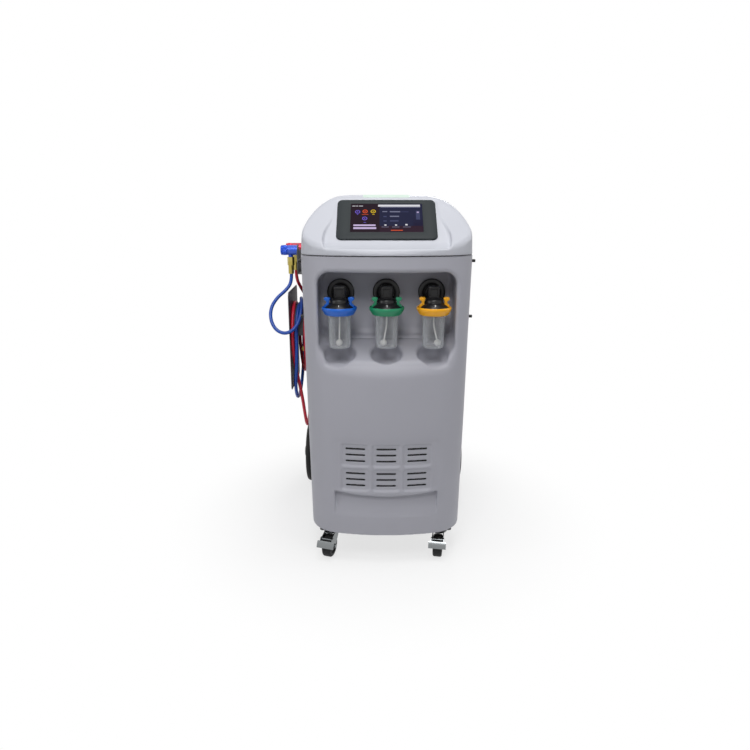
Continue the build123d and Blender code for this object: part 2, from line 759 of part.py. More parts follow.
def panel_screws():
    """Four screws that hold the front panel to the sides."""
    screws = []
    for side in SIDES.values():
        for z in SCREW_Z:
            face = side * (half_width(z) + 0.2)
            head = rod((face, SCREW_Y, z), (face + side * SCREW_HEAD_L, SCREW_Y, z), SCREW_HEAD_R)
            shank = rod((face - side * 12, SCREW_Y, z), (face + side, SCREW_Y, z), SCREW_R)
            screws.append(head + shank)
    return Compound(children=screws)


def hose_holder():
    """The hanger for the hoses: a half drum between the side and a tall outer plate."""
    middle_y = (HOLDER_Y0 + HOLDER_Y1) / 2
    middle_z = (HOLDER_Z0 + HOLDER_Z1) / 2
    upright = Plane(origin=(HOLDER_OUT_X, middle_y, middle_z), x_dir=(0, 1, 0), z_dir=(1, 0, 0))
    face = RectangleRounded(HOLDER_Y1 - HOLDER_Y0, HOLDER_Z1 - HOLDER_Z0, HOLDER_PLATE_R)
    plate = extrude(upright * face, SHEET)
    inner = (-200, DRUM_Y, DRUM_Z)
    outer = (HOLDER_OUT_X + SHEET, DRUM_Y, DRUM_Z)
    drum = rod(outer, inner, DRUM_R) - rod(outer, inner, DRUM_R - SHEET)
    drum &= block(-FAR, 0, -FAR, FAR, DRUM_Z, FAR)
    drum -= body_form(0)
    foot = body_form(-SHEET) - body_form(0)
    foot &= block(-FAR, -100, DRUM_Y - DRUM_R, DRUM_Y + DRUM_R, DRUM_Z, DRUM_Z + DRUM_R - 5)
    return plate + drum + foot


def coupler_bracket():
    """The folded bracket with two lugs and stubs that the couplers park on."""
    outer = block(BRACKET_OUT_X, BRACKET_OUT_X + SHEET, BRACKET_Y0, BRACKET_Y1, BRACKET_Z0, BRACKET_Z1)
    shelf = block(BRACKET_OUT_X, -200, BRACKET_Y0, BRACKET_Y1, BRACKET_Z0, BRACKET_Z0 + SHEET)
    bracket = outer + (shelf - body_form(0))
    foot = body_form(-SHEET) - body_form(0)
    bracket += foot & block(-FAR, -100, BRACKET_Y0, BRACKET_Y1, BRACKET_Z0, BRACKET_Z1)
    for y in COUPLER_Y.values():
        lug_end = BRACKET_OUT_X + SHEET
        bracket += rod((BRACKET_OUT_X, y, PARK_Z), (lug_end, y, PARK_Z), LUG_R)
        bracket += rod((BRACKET_OUT_X - STUB_L, y, PARK_Z), (lug_end, y, PARK_Z), STUB_R)
    return bracket


def coupler_body(y):
    """The coupler's sleeve, parked over its stub, with the boss that its hose fitting screws into."""
    inner_x = BRACKET_OUT_X
    outer_x = COUPLER_END_X + KNOB_L + KNOB_GAP
    sleeve = rod((outer_x, y, PARK_Z), (inner_x, y, PARK_Z), COUPLER_R)
    sleeve -= rod((inner_x - STUB_L - 2, y, PARK_Z), (inner_x, y, PARK_Z), STUB_R + FLANGE_CLEARANCE)
    sleeve += rod((outer_x - KNOB_L / 2, y, PARK_Z), (outer_x, y, PARK_Z), SPINDLE_R)
    sleeve += rod((FITTING_X, y, PARK_Z - COUPLER_R - 6), (FITTING_X, y, PARK_Z - STUB_R - 3), BOSS_R)
    return sleeve - rod((inner_x - STUB_L - 2, y, PARK_Z), (inner_x, y, PARK_Z), STUB_R + FLANGE_CLEARANCE)


def coupler_knob(y):
    """The knob that opens the coupler's valve."""
    inner_x = COUPLER_END_X + KNOB_L
    knob = rod((COUPLER_END_X, y, PARK_Z), (inner_x, y, PARK_Z), COUPLER_R)
    for turn in range(12):
        angle = math.radians(30 * turn)
        flute_y = y + (COUPLER_R + 1.2) * math.cos(angle)
        flute_z = PARK_Z + (COUPLER_R + 1.2) * math.sin(angle)
        knob -= rod((COUPLER_END_X, flute_y, flute_z), (inner_x, flute_y, flute_z), 2.4)
    bore_end = inner_x - KNOB_L / 2 - 1
    knob -= rod((bore_end, y, PARK_Z), (inner_x, y, PARK_Z), SPINDLE_R + RUNNING_CLEARANCE)
    return knob


def coupler_fitting(y):
    """The hexagon and the crimped sleeve between a coupler and its hose."""
    top_z = PARK_Z - COUPLER_R - 6
    hexagon = Plane(origin=(FITTING_X, y, top_z), z_dir=(0, 0, -1)) * RegularPolygon(FITTING_HEX / 2, 6)
    fitting = extrude(hexagon, FITTING_L - 6)
    low_z = top_z - FITTING_L + 6
    return fitting + rod((FITTING_X, y, low_z), (FITTING_X, y, CRIMP_END_Z), CRIMP_R)


def hose_ports():
    """Two elbows on the left side that the hoses end in."""
    elbows = []
    for port, direction in ((RED_PORT, (0, 0, -1)), (BLUE_PORT, (0, -1, 0))):
        mouth = Vector(*port)
        bend = mouth + Vector(*direction) * PORT_BEND
        elbow = rod(mouth, mouth + Vector(*direction) * PORT_STEM_L, PORT_R - SHEET)
        elbow += rod(bend, (-200, bend.Y, bend.Z), PORT_R)
        elbow += rod((-half_width(bend.Z) - WALL - 1, bend.Y, bend.Z), (-200, bend.Y, bend.Z), PORT_FOOT_R)
        elbows.append(elbow - body_form(0))
    return Compound(children=elbows)


def bottle(x):
    """The clear cup with its flange."""
    floor_z = BOTTLE_FOOT_Z
    outer = loft([
        Pos(x, BOTTLE_Y, floor_z) * Circle(BOTTLE_FOOT_R),
        Pos(x, BOTTLE_Y, BOTTLE_TOP_Z) * Circle(BOTTLE_TOP_R),
    ])
    outer = fillet(outer.edges().group_by(Axis.Z)[0], 5)
    flange = rod((x, BOTTLE_Y, BOTTLE_TOP_Z - BOTTLE_FLANGE_T), (x, BOTTLE_Y, BOTTLE_TOP_Z), BOTTLE_FLANGE_R)
    inner = loft([
        Pos(x, BOTTLE_Y, floor_z + BOTTLE_WALL) * Circle(BOTTLE_FOOT_R - BOTTLE_WALL),
        Pos(x, BOTTLE_Y, BOTTLE_TOP_Z) * Circle(BOTTLE_TOP_R - BOTTLE_WALL),
    ])
    return outer + flange - inner


def bottle_ring(x):
    """The coloured collar with an ear at each side."""
    foot_z = BOTTLE_TOP_Z
    top_z = foot_z + RING_H
    ring = rod((x, BOTTLE_Y, foot_z), (x, BOTTLE_Y, top_z), RING_R)
    ring -= rod((x, BOTTLE_Y, foot_z + RING_WEB_T), (x, BOTTLE_Y, top_z), RING_BORE_R)
    ring -= rod((x, BOTTLE_Y, foot_z), (x, BOTTLE_Y, top_z), BOTTLE_TOP_R - BOTTLE_WALL)
    for side in SIDES.values():
        ends = sorted((x + side * (RING_R - EAR_W), x + side * RING_R))
        ear = block(*ends, BOTTLE_Y - EAR_D / 2, BOTTLE_Y + EAR_D / 2, top_z, EAR_TOP_Z)
        waist = (x + side * (RING_R - EAR_W), (top_z + EAR_TOP_Z) / 2)
        ear -= rod((waist[0], BOTTLE_Y - EAR_D, waist[1]), (waist[0], BOTTLE_Y + EAR_D, waist[1]), 8)
        ring += ear
    return ring


def bottle_cap(x):
    """The black cap with its dome, its neck and the plug that goes into the wall coupling."""
    foot_z = BOTTLE_TOP_Z + RING_WEB_T
    skirt_z = foot_z + CAP_SKIRT_H
    cap = rod((x, BOTTLE_Y, foot_z), (x, BOTTLE_Y, skirt_z), RING_BORE_R - CAP_CLEARANCE)
    dome = rod((x, BOTTLE_Y, skirt_z), (x, BOTTLE_Y, skirt_z + DOME_H), DOME_R)
    cap += fillet(dome.edges().group_by(Axis.Z)[-1], DOME_H * 0.6)
    neck_top = PLUG_Z + PLUG_R + 1
    neck = block(x - NECK_W / 2, x + NECK_W / 2, BOTTLE_Y + 2, BOTTLE_Y + 2 + NECK_D, skirt_z, neck_top)
    cap += fillet(neck.edges().filter_by(Axis.Z), 5)
    cap += rod((x, BOTTLE_Y + NECK_D / 2, PLUG_Z), (x, PLUG_END_Y, PLUG_Z), PLUG_R)
    return cap


def dip_tube(x, shift):
    """The white tube under the cap, with the ball at its end."""
    top = (x, BOTTLE_Y, BOTTLE_TOP_Z + RING_WEB_T)
    foot = (x + shift, BOTTLE_Y, DIP_BALL_Z)
    elbow = (x, BOTTLE_Y, (top[2] + foot[2]) / 2 + 10)
    stem = tube([top, elbow, foot], DIP_R, 120)
    return stem + Pos(*foot) * Sphere(DIP_BALL_R)


def wall_couplings():
    """The three black discs on the alcove's back wall, each with a socket."""
    couplings = []
    for x in BOTTLE_X:
        face_y = ALCOVE_BACK_Y - WALL_DISC_T
        mouth_y = face_y - SOCKET_L
        disc = rod((x, ALCOVE_BACK_Y, PLUG_Z), (x, face_y, PLUG_Z), WALL_DISC_R)
        disc += rod((x, face_y, PLUG_Z), (x, mouth_y, PLUG_Z), SOCKET_R)
        disc -= rod((x, PLUG_END_Y + 1, PLUG_Z), (x, mouth_y, PLUG_Z), PLUG_R + SOCKET_CLEARANCE)
        couplings.append(disc)
    return Compound(children=couplings)


def castor_place(side_name):
    """Where a castor stands and how it is turned. Its local x points to its wheel."""
    side = SIDES[side_name]
    return Pos(side * CASTOR_X, CASTOR_Y, 0) * Rot(0, 0, 270 - CASTOR_TURN[side_name])


def castor_plates():
    """The fixed plate, ball head and kingpin of both castors."""
    head_z = CASTOR_H - CASTOR_PLATE_T - CASTOR_HEAD_H
    crown_foot = head_z - SWIVEL_GAP - CASTOR_CROWN_T
    plates = []
    for side in SIDES.values():
        x = side * CASTOR_X
        plate = block(x - CASTOR_PLATE_W / 2, x + CASTOR_PLATE_W / 2, CASTOR_Y - CASTOR_PLATE_D / 2,
                      CASTOR_Y + CASTOR_PLATE_D / 2, CASTOR_H - CASTOR_PLATE_T, CASTOR_H)
        plate = fillet(plate.edges().filter_by(Axis.Z), 8)
        plate += rod((x, CASTOR_Y, head_z), (x, CASTOR_Y, CASTOR_H), CASTOR_HEAD_R)
        plate += rod((x, CASTOR_Y, crown_foot - SWIVEL_GAP), (x, CASTOR_Y, head_z), KINGPIN_R)
        plate += rod((x, CASTOR_Y, crown_foot - SWIVEL_GAP - 2.5),
                     (x, CASTOR_Y, crown_foot - SWIVEL_GAP), KINGPIN_HEAD_R)
        plates.append(plate)
    return Compound(children=plates)


def castor_fork(side_name):
    """The chrome fork with its axle bolt and the pin of the pedal."""
    crown_top = CASTOR_H - CASTOR_PLATE_T - CASTOR_HEAD_H - SWIVEL_GAP
    crown_foot = crown_top - CASTOR_CROWN_T
    cheek_in = CASTOR_WHEEL_W / 2 + CASTOR_SIDE_GAP
    cheek_out = cheek_in + CASTOR_CHEEK_T
    crown = rod((0, 0, crown_foot), (0, 0, crown_top), CASTOR_HEAD_R)
    fork = crown - rod((0, 0, 0), (0, 0, 200), KINGPIN_R + RUNNING_CLEARANCE)
    cheek = Plane(origin=(0, cheek_in, 0), x_dir=(1, 0, 0), z_dir=(0, -1, 0)) * Polygon(
        (-22, crown_top), (20, crown_top), (PEDAL_PIN_U + 4, PEDAL_PIN_Z + 4),
        (PEDAL_PIN_U + 4, PEDAL_PIN_Z - 5), (CASTOR_TRAIL + 9, CASTOR_WHEEL_R - 3),
        (CASTOR_TRAIL, CASTOR_WHEEL_R - 9), (CASTOR_TRAIL - 9, CASTOR_WHEEL_R - 3), (-22, crown_foot),
        align=None
    )
    plate = slab(cheek, (0, 1, 0), CASTOR_CHEEK_T)
    fork += plate
    fork += mirror(plate, about=Plane.XZ)
    pins = ((CASTOR_TRAIL, CASTOR_WHEEL_R, CASTOR_AXLE_R), (PEDAL_PIN_U, PEDAL_PIN_Z, PEDAL_PIN_R))
    for u, z, radius in pins:
        fork += rod((u, -cheek_out - 3, z), (u, cheek_out + 3, z), radius)
    for side in SIDES.values():
        ends = sorted((side * cheek_out, side * (cheek_out + 4)))
        fork += rod((CASTOR_TRAIL, ends[0], CASTOR_WHEEL_R), (CASTOR_TRAIL, ends[1], CASTOR_WHEEL_R), 7)
    return castor_place(side_name) * fork


def castor_wheel(side_name):
    """The black wheel with a stepped hub."""
    half = CASTOR_WHEEL_W / 2
    centre = (CASTOR_TRAIL, CASTOR_WHEEL_R)
    wheel = rod((centre[0], -half, centre[1]), (centre[0], half, centre[1]), CASTOR_WHEEL_R)
    wheel = fillet(wheel.edges(), 6)
    for side in SIDES.values():
        ends = (side * (half - 3), side * (half + 1))
        hollow = rod((centre[0], ends[0], centre[1]), (centre[0], ends[1], centre[1]), 24)
        hollow -= rod((centre[0], ends[0], centre[1]), (centre[0], ends[1], centre[1]), 11)
        wheel -= hollow
    bore = CASTOR_AXLE_R + RUNNING_CLEARANCE
    wheel -= rod((centre[0], -FAR, centre[1]), (centre[0], FAR, centre[1]), bore)
    return castor_place(side_name) * wheel


def brake_pedal(side_name):
    """The curved foot plate that swings on its pin towards the tread."""
    cheek_out = CASTOR_WHEEL_W / 2 + CASTOR_SIDE_GAP + CASTOR_CHEEK_T
    centre = (CASTOR_TRAIL, CASTOR_WHEEL_R)
    upright = Plane(origin=(0, PEDAL_W / 2, 0), x_dir=(1, 0, 0), z_dir=(0, -1, 0))
    out_r = PEDAL_IN_R + PEDAL_T
    sweep_deg = PEDAL_HIGH_DEG - PEDAL_LOW_DEG
    low = math.radians(PEDAL_LOW_DEG)
    high = math.radians(PEDAL_HIGH_DEG)
    corners = {(radius, angle): (centre[0] + radius * math.cos(angle), centre[1] + radius * math.sin(angle))
               for radius in (PEDAL_IN_R, out_r) for angle in (low, high)}
    edges = [
        CenterArc(centre, PEDAL_IN_R, PEDAL_LOW_DEG, sweep_deg),
        Line(corners[PEDAL_IN_R, high], corners[out_r, high]),
        CenterArc(centre, out_r, PEDAL_LOW_DEG, sweep_deg),
        Line(corners[out_r, low], corners[PEDAL_IN_R, low]),
    ]
    pedal = slab(upright * make_face(edges), (0, -1, 0), PEDAL_W)
    upper = corners[PEDAL_IN_R, high]
    for side in SIDES.values():
        ear_y = side * (cheek_out + FLANGE_CLEARANCE + 0.2)
        ear_plane = Plane(origin=(0, ear_y, 0), x_dir=(1, 0, 0), z_dir=(0, -1, 0))
        ear = ear_plane * Polygon(
            (PEDAL_PIN_U - 5, PEDAL_PIN_Z + 5), (PEDAL_PIN_U + 5, PEDAL_PIN_Z + 5),
            (upper[0] + 3, upper[1] + 1), (upper[0] + 1, upper[1] - 8), (PEDAL_PIN_U - 5, PEDAL_PIN_Z - 4),
            align=None
        )
        pedal += slab(ear, (0, side, 0), PEDAL_EAR_T)
    pin_hole = PEDAL_PIN_R + RUNNING_CLEARANCE
    pedal -= rod((PEDAL_PIN_U, -FAR, PEDAL_PIN_Z), (PEDAL_PIN_U, FAR, PEDAL_PIN_Z), pin_hole)
    return castor_place(side_name) * pedal


def rear_axle():
    """The steel axle with its collars and end washers."""
    end_x = WHEEL_OUT_X - AXLE_END
    axle = rod((-end_x, WHEEL_Y, WHEEL_R), (end_x, WHEEL_Y, WHEEL_R), REAR_AXLE_R)
    for side in SIDES.values():
        collar_out = side * (WHEEL_OUT_X - WHEEL_W - SWIVEL_GAP)
        collar_in = collar_out - side * AXLE_END
        axle += rod((collar_in, WHEEL_Y, WHEEL_R), (collar_out, WHEEL_Y, WHEEL_R), AXLE_COLLAR_R)
        washer_in = side * (end_x - AXLE_WASHER_T)
        axle += rod((washer_in, WHEEL_Y, WHEEL_R), (side * end_x, WHEEL_Y, WHEEL_R), AXLE_WASHER_R)
    return axle


def rear_tyre(side):
    """The rubber tyre with round shoulders and three grooves."""
    outer = side * WHEEL_OUT_X
    inner = side * (WHEEL_OUT_X - WHEEL_W)
    tyre = rod((outer, WHEEL_Y, WHEEL_R), (inner, WHEEL_Y, WHEEL_R), WHEEL_R)
    tyre = fillet(tyre.edges(), TYRE_ROUND)
    tyre -= rod((outer, WHEEL_Y, WHEEL_R), (inner, WHEEL_Y, WHEEL_R), TYRE_SEAT_R)
    for step in (-1, 0, 1):
        x = (outer + inner) / 2 + step * TREAD_STEP
        start = (x - TREAD_GROOVE_W / 2, WHEEL_Y, WHEEL_R)
        end = (x + TREAD_GROOVE_W / 2, WHEEL_Y, WHEEL_R)
        tyre -= rod(start, end, WHEEL_R + 1) - rod(start, end, WHEEL_R - TREAD_GROOVE_D)
    return tyre


def rear_rim(side):
    """The rim with its web, hub and bore."""
    outer = side * (WHEEL_OUT_X - RIM_INSET)
    inner = side * (WHEEL_OUT_X - WHEEL_W)
    middle = (outer + inner) / 2
    rim = rod((outer, WHEEL_Y, WHEEL_R), (inner, WHEEL_Y, WHEEL_R), TYRE_SEAT_R)
    rim -= rod((outer, WHEEL_Y, WHEEL_R), (inner, WHEEL_Y, WHEEL_R), TYRE_SEAT_R - RIM_LIP_T)
    rim += rod((middle - RIM_WEB_T / 2, WHEEL_Y, WHEEL_R), (middle + RIM_WEB_T / 2, WHEEL_Y, WHEEL_R),
               TYRE_SEAT_R - RIM_LIP_T / 2)
    hub_out = side * (WHEEL_OUT_X - HUB_SEAT)
    rim += rod((inner, WHEEL_Y, WHEEL_R), (hub_out, WHEEL_Y, WHEEL_R), RIM_HUB_R)
    bore = REAR_AXLE_R + RUNNING_CLEARANCE
    rim -= rod((inner, WHEEL_Y, WHEEL_R), (hub_out, WHEEL_Y, WHEEL_R), bore)
    recess_in = hub_out - side * 1
    return rim - rod((recess_in, WHEEL_Y, WHEEL_R), (hub_out, WHEEL_Y, WHEEL_R), HUB_RECESS_R)


def hub_cap(side):
    """The cap over the axle's end, seated on the rim's hub."""
    seat = side * (WHEEL_OUT_X - HUB_SEAT)
    outer = side * HUB_CAP_OUT_X
    cap = rod((seat, WHEEL_Y, WHEEL_R), (outer, WHEEL_Y, WHEEL_R), HUB_CAP_R)
    cap = fillet(cap.edges().sort_by(lambda edge: abs(edge.center().X))[-1], HUB_CAP_ROUND)
    return cap - rod((seat, WHEEL_Y, WHEEL_R), (outer - side * HUB_CAP_T, WHEEL_Y, WHEEL_R), AXLE_COLLAR_R)


def base_frame():
    """The folded pan with its upright mast and the blocks that carry the rear axle."""
    low = Pos(0, 0, PAN_Z0) * plan(HALF_AT_FOOT, FRONT_Y, PAN_INSET)
    pan = extrude(low, PAN_T + PAN_FLANGE_H)
    hollow = Pos(0, 0, PAN_TOP_Z) * plan(HALF_AT_FOOT, FRONT_Y, PAN_INSET + SHEET)
    pan -= extrude(hollow, PAN_FLANGE_H)
    pan += block(-MAST_HALF, MAST_HALF, MAST_Y, MAST_Y + PAN_T, PAN_TOP_Z, MAST_TOP_Z)
    for side in SIDES.values():
        x = side * (HALF_AT_FOOT - PAN_INSET - AXLE_BLOCK_W / 2)
        pan += block(x - AXLE_BLOCK_W / 2, x + AXLE_BLOCK_W / 2, WHEEL_Y - AXLE_BLOCK_D / 2,
                     WHEEL_Y + AXLE_BLOCK_D / 2, PAN_TOP_Z, WHEEL_R + AXLE_BLOCK_RISE)
    return pan - rod((-FAR, WHEEL_Y, WHEEL_R), (FAR, WHEEL_Y, WHEEL_R), REAR_AXLE_R)


def refrigerant_tank():
    """The tank with domed ends, a foot ring and its valve."""
    top_z = TANK_Z0 + TANK_L
    tank = rod((0, TANK_Y, TANK_Z0), (0, TANK_Y, top_z), TANK_R)
    tank = fillet(tank.edges(), TANK_DOME_R)
    tank += rod((0, TANK_Y, TANK_Z0 - TANK_FOOT_H), (0, TANK_Y, TANK_Z0 + TANK_FOOT_H), TANK_FOOT_R)
    return tank + rod((0, TANK_Y, top_z - TANK_FOOT_H), (0, TANK_Y, top_z + TANK_VALVE_H), TANK_VALVE_R)


def tank_scale():
    """The load cell with its upper and lower plates."""
    top_z = TANK_Z0 - TANK_FOOT_H
    scale = block(-LOAD_CELL_W / 2, LOAD_CELL_W / 2, TANK_Y - LOAD_CELL_D / 2, TANK_Y + LOAD_CELL_D / 2,
                  PAN_TOP_Z, top_z)
    for z in (PAN_TOP_Z, top_z - SCALE_PLATE_T):
        scale += block(-SCALE_HALF, SCALE_HALF, TANK_Y - SCALE_HALF, TANK_Y + SCALE_HALF,
                       z, z + SCALE_PLATE_T)
    return scale


def compressor():
    """The hermetic compressor on its foot plate."""
    foot_top = PAN_TOP_Z + COMPRESSOR_FOOT_T
    start = (COMPRESSOR_X, COMPRESSOR_Y, foot_top - 2)
    shell = rod(start, (COMPRESSOR_X, COMPRESSOR_Y, PAN_TOP_Z + COMPRESSOR_H), COMPRESSOR_R)
    shell = fillet(shell.edges(), COMPRESSOR_DOME_R)
    half_w = COMPRESSOR_FOOT_W / 2
    half_d = COMPRESSOR_FOOT_D / 2
    return shell + block(COMPRESSOR_X - half_w, COMPRESSOR_X + half_w, COMPRESSOR_Y - half_d,
                         COMPRESSOR_Y + half_d, PAN_TOP_Z, foot_top)


def vacuum_pump():
    """The vacuum pump: its oil case in front and its motor behind."""
    case_back = PUMP_FRONT_Y + PUMP_CASE_D
    shaft_z = PAN_TOP_Z + PUMP_SHAFT_H
    pump = block(PUMP_X - PUMP_CASE_W / 2, PUMP_X + PUMP_CASE_W / 2, PUMP_FRONT_Y, case_back,
                 PAN_TOP_Z, PAN_TOP_Z + PUMP_CASE_H)
    pump += rod((PUMP_X, case_back, shaft_z), (PUMP_X, case_back + PUMP_MOTOR_L, shaft_z), PUMP_MOTOR_R)
    return pump + block(PUMP_X - PUMP_FOOT_W / 2, PUMP_X + PUMP_FOOT_W / 2, case_back,
                        case_back + PUMP_FOOT_L, PAN_TOP_Z, PAN_TOP_Z + PUMP_FOOT_H)


def filter_drier():
    """The drier on the back of the mast."""
    y = MAST_Y + PAN_T + DRIER_OFF
    drier = rod((DRIER_X, y, DRIER_Z0), (DRIER_X, y, DRIER_Z0 + DRIER_L), DRIER_R)
    drier = fillet(drier.edges(), DRIER_END_R)
    for z in CLAMP_Z:
        drier += block(DRIER_X - CLAMP_W / 2, DRIER_X + CLAMP_W / 2, MAST_Y + PAN_T, y, z, z + CLAMP_H)
    return drier


def valve_block():
    """The aluminium manifold with a row of solenoid valves."""
    back = MAST_Y + PAN_T
    top_z = MANIFOLD_Z0 + MANIFOLD_H
    manifold = block(MANIFOLD_X0, MANIFOLD_X1, back, back + MANIFOLD_D, MANIFOLD_Z0, top_z)
    middle_x = (MANIFOLD_X0 + MANIFOLD_X1) / 2
    for step in range(VALVES):
        x = middle_x + (step - (VALVES - 1) / 2) * VALVE_PITCH
        y = back + MANIFOLD_D / 2
        manifold += rod((x, y, top_z), (x, y, top_z + VALVE_H), VALVE_R)
    return manifold


def control_board():
    """The control board in its tray on the back of the mast."""
    back = MAST_Y + PAN_T
    floor_y = back + TRAY_WALL
    tray = block(TRAY_X0, TRAY_X1, back, back + TRAY_D, TRAY_Z0, TRAY_Z1)
    tray -= block(TRAY_X0 + TRAY_WALL, TRAY_X1 - TRAY_WALL, floor_y, back + TRAY_D,
                  TRAY_Z0 + TRAY_WALL, TRAY_Z1 - TRAY_WALL)
    return tray + block(TRAY_X0 + BOARD_MARGIN, TRAY_X1 - BOARD_MARGIN, floor_y, floor_y + BOARD_T,
                        TRAY_Z0 + BOARD_MARGIN, TRAY_Z1 - BOARD_MARGIN)


def fan_frame():
    """The fan's square frame with its motor mount, on the inside of the back."""
    outer_y = BACK_Y - SHEET
    inner_y = outer_y - FAN_T
    arm_y = inner_y + FAN_ARM_T
    half = FAN_SIZE / 2
    frame = block(FAN_X - half, FAN_X + half, inner_y, outer_y, FAN_Z - half, FAN_Z + half)
    frame -= rod((FAN_X, inner_y, FAN_Z), (FAN_X, outer_y, FAN_Z), FAN_ROTOR_R + SHEET)
    frame += block(FAN_X - half, FAN_X + half, inner_y, arm_y, FAN_Z - FAN_ARM_W / 2, FAN_Z + FAN_ARM_W / 2)
    frame += rod((FAN_X, inner_y, FAN_Z), (FAN_X, arm_y, FAN_Z), FAN_HUB_R)
    return frame + rod((FAN_X, inner_y, FAN_Z), (FAN_X, outer_y - 3 * SHEET, FAN_Z), FAN_SHAFT_R)


def fan_rotor():
    """The hub and blades that turn on the motor's shaft."""
    start_y = BACK_Y - SHEET - FAN_T + FAN_ARM_T + 1
    end_y = BACK_Y - SHEET - FAN_BLADE_T
    middle = Pos(FAN_X, (start_y + end_y) / 2, FAN_Z + FAN_ROTOR_R / 2)
    rotor = rod((FAN_X, start_y, FAN_Z), (FAN_X, end_y, FAN_Z), FAN_HUB_R)
    blade = middle * Rot(0, 0, FAN_BLADE_PITCH) * Box(FAN_BLADE_T, FAN_BLADE_D, FAN_ROTOR_R)
    for turn in range(FAN_BLADES):
        rotor += blade.rotate(Axis((FAN_X, 0, FAN_Z), (0, 1, 0)), 360 / FAN_BLADES * turn)
    rotor &= rod((FAN_X, start_y, FAN_Z), (FAN_X, end_y, FAN_Z), FAN_ROTOR_R)
    bore = FAN_SHAFT_R + RUNNING_CLEARANCE
    return rotor - rod((FAN_X, start_y, FAN_Z), (FAN_X, end_y - 2, FAN_Z), bore)


def hose(name, route):
    """A hose along its route, with its arc radii printed."""
    radii = arc_radii(route)
    print(name, "arc radii", [round(radius) for radius in radii])
    solid = tube(route, HOSE_R, radii)
    length = solid.volume / (math.pi * HOSE_R ** 2)
    path = FilletPolyline(*route, radius=radii)
    print(name, "length", round(path.length), "from its volume", round(length))
    return solid


def parts():
    """Every piece by its name."""
    made = {
        "base_frame": base_frame(),
        "front_panel": front_panel(),
        "rear_panel": rear_panel(),
        "hood": hood(),
        "screen_bezel": bezel(),
        "touch_display": display(),
        "status_light": light_form(0),
        "push_handle": push_handle(),
        "power_inlet": power_inlet(),
        "rocker_switch": rocker(),
        "panel_screws": panel_screws(),
        "hose_holder": hose_holder(),
        "coupler_bracket": coupler_bracket(),
        "hose_ports": hose_ports(),
        "blue_hose": hose("blue_hose", BLUE_ROUTE),
        "red_hose": hose("red_hose", RED_ROUTE),
        "wall_couplings": wall_couplings(),
        "castor_plates": castor_plates(),
        "rear_axle": rear_axle(),
        "refrigerant_tank": refrigerant_tank(),
        "tank_scale": tank_scale(),
        "compressor": compressor(),
        "vacuum_pump": vacuum_pump(),
        "filter_drier": filter_drier(),
        "valve_block": valve_block(),
        "control_board": control_board(),
        "fan_frame": fan_frame(),
        "fan_rotor": fan_rotor(),
    }
    for name, side in SIDES.items():
        made[f"{name}_side_panel"] = side_panel(side)
        made[f"castor_fork_{name}"] = castor_fork(name)
        made[f"castor_wheel_{name}"] = castor_wheel(name)
        made[f"brake_pedal_{name}"] = brake_pedal(name)
        made[f"rear_tyre_{name}"] = rear_tyre(side)
        made[f"rear_rim_{name}"] = rear_rim(side)
        made[f"hub_cap_{name}"] = hub_cap(side)
    for colour, y in COUPLER_Y.items():
        made[f"{colour}_coupler_body"] = coupler_body(y)
        made[f"{colour}_coupler_knob"] = coupler_knob(y)
        made[f"{colour}_coupler_fitting"] = coupler_fitting(y)
    for number, x in enumerate(BOTTLE_X, start=1):
        made[f"bottle_{number}"] = bottle(x)
        made[f"bottle_ring_{number}"] = bottle_ring(x)
        made[f"bottle_cap_{number}"] = bottle_cap(x)
        made[f"dip_tube_{number}"] = dip_tube(x, DIP_BALL_SHIFT[number - 1])
    return made


os.makedirs("parts", exist_ok=True)
for node, shape in parts().items():
    export_step(shape, f"parts/{node}.step")
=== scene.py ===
import json
import math

import bmesh
import bpy
import numpy as np
from mathutils import Matrix, Vector


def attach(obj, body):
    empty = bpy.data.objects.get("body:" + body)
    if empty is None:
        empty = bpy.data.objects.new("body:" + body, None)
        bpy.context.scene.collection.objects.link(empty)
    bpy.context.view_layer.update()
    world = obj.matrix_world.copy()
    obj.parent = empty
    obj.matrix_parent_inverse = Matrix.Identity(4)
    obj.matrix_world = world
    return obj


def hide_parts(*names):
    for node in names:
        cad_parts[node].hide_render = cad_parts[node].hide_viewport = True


# Air conditioning recharge station, dressed for the render. Metres, in the frame's own axes: X to the
# right seen from the front, Y to the rear, Z up from the floor.
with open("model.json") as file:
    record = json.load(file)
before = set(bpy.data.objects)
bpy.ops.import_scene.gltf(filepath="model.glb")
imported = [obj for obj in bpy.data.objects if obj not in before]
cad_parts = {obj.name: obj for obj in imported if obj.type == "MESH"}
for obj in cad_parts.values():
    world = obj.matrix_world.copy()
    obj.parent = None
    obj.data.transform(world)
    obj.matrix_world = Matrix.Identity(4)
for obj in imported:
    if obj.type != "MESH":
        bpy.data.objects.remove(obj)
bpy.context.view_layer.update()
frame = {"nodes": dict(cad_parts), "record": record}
nodes = frame["nodes"]

MM = 0.001

# Finishes: the depth of their grain in metres, and the pointiness at which edge wear starts
GRAIN_DEPTH = 0.0005
EDGE_START = 0.505

# Meshes: the turn that stands a flat shape up, the least angle of a sharp edge, and how often and how far
# apart in millimetres a skin's points are measured again to bring them onto it
UPRIGHT = Matrix.Rotation(math.radians(90), 4, "X")
SHARP_ANGLE = math.radians(50)
SKIN_PASSES = 3
SKIN_PROBE = 0.05

# Camera
CAMERA_PLACE = (-0.0356, -2.139, 1.136)
CAMERA_PITCH = 15.6
CAMERA_LENS = 28.8
CAMERA_SENSOR = 36

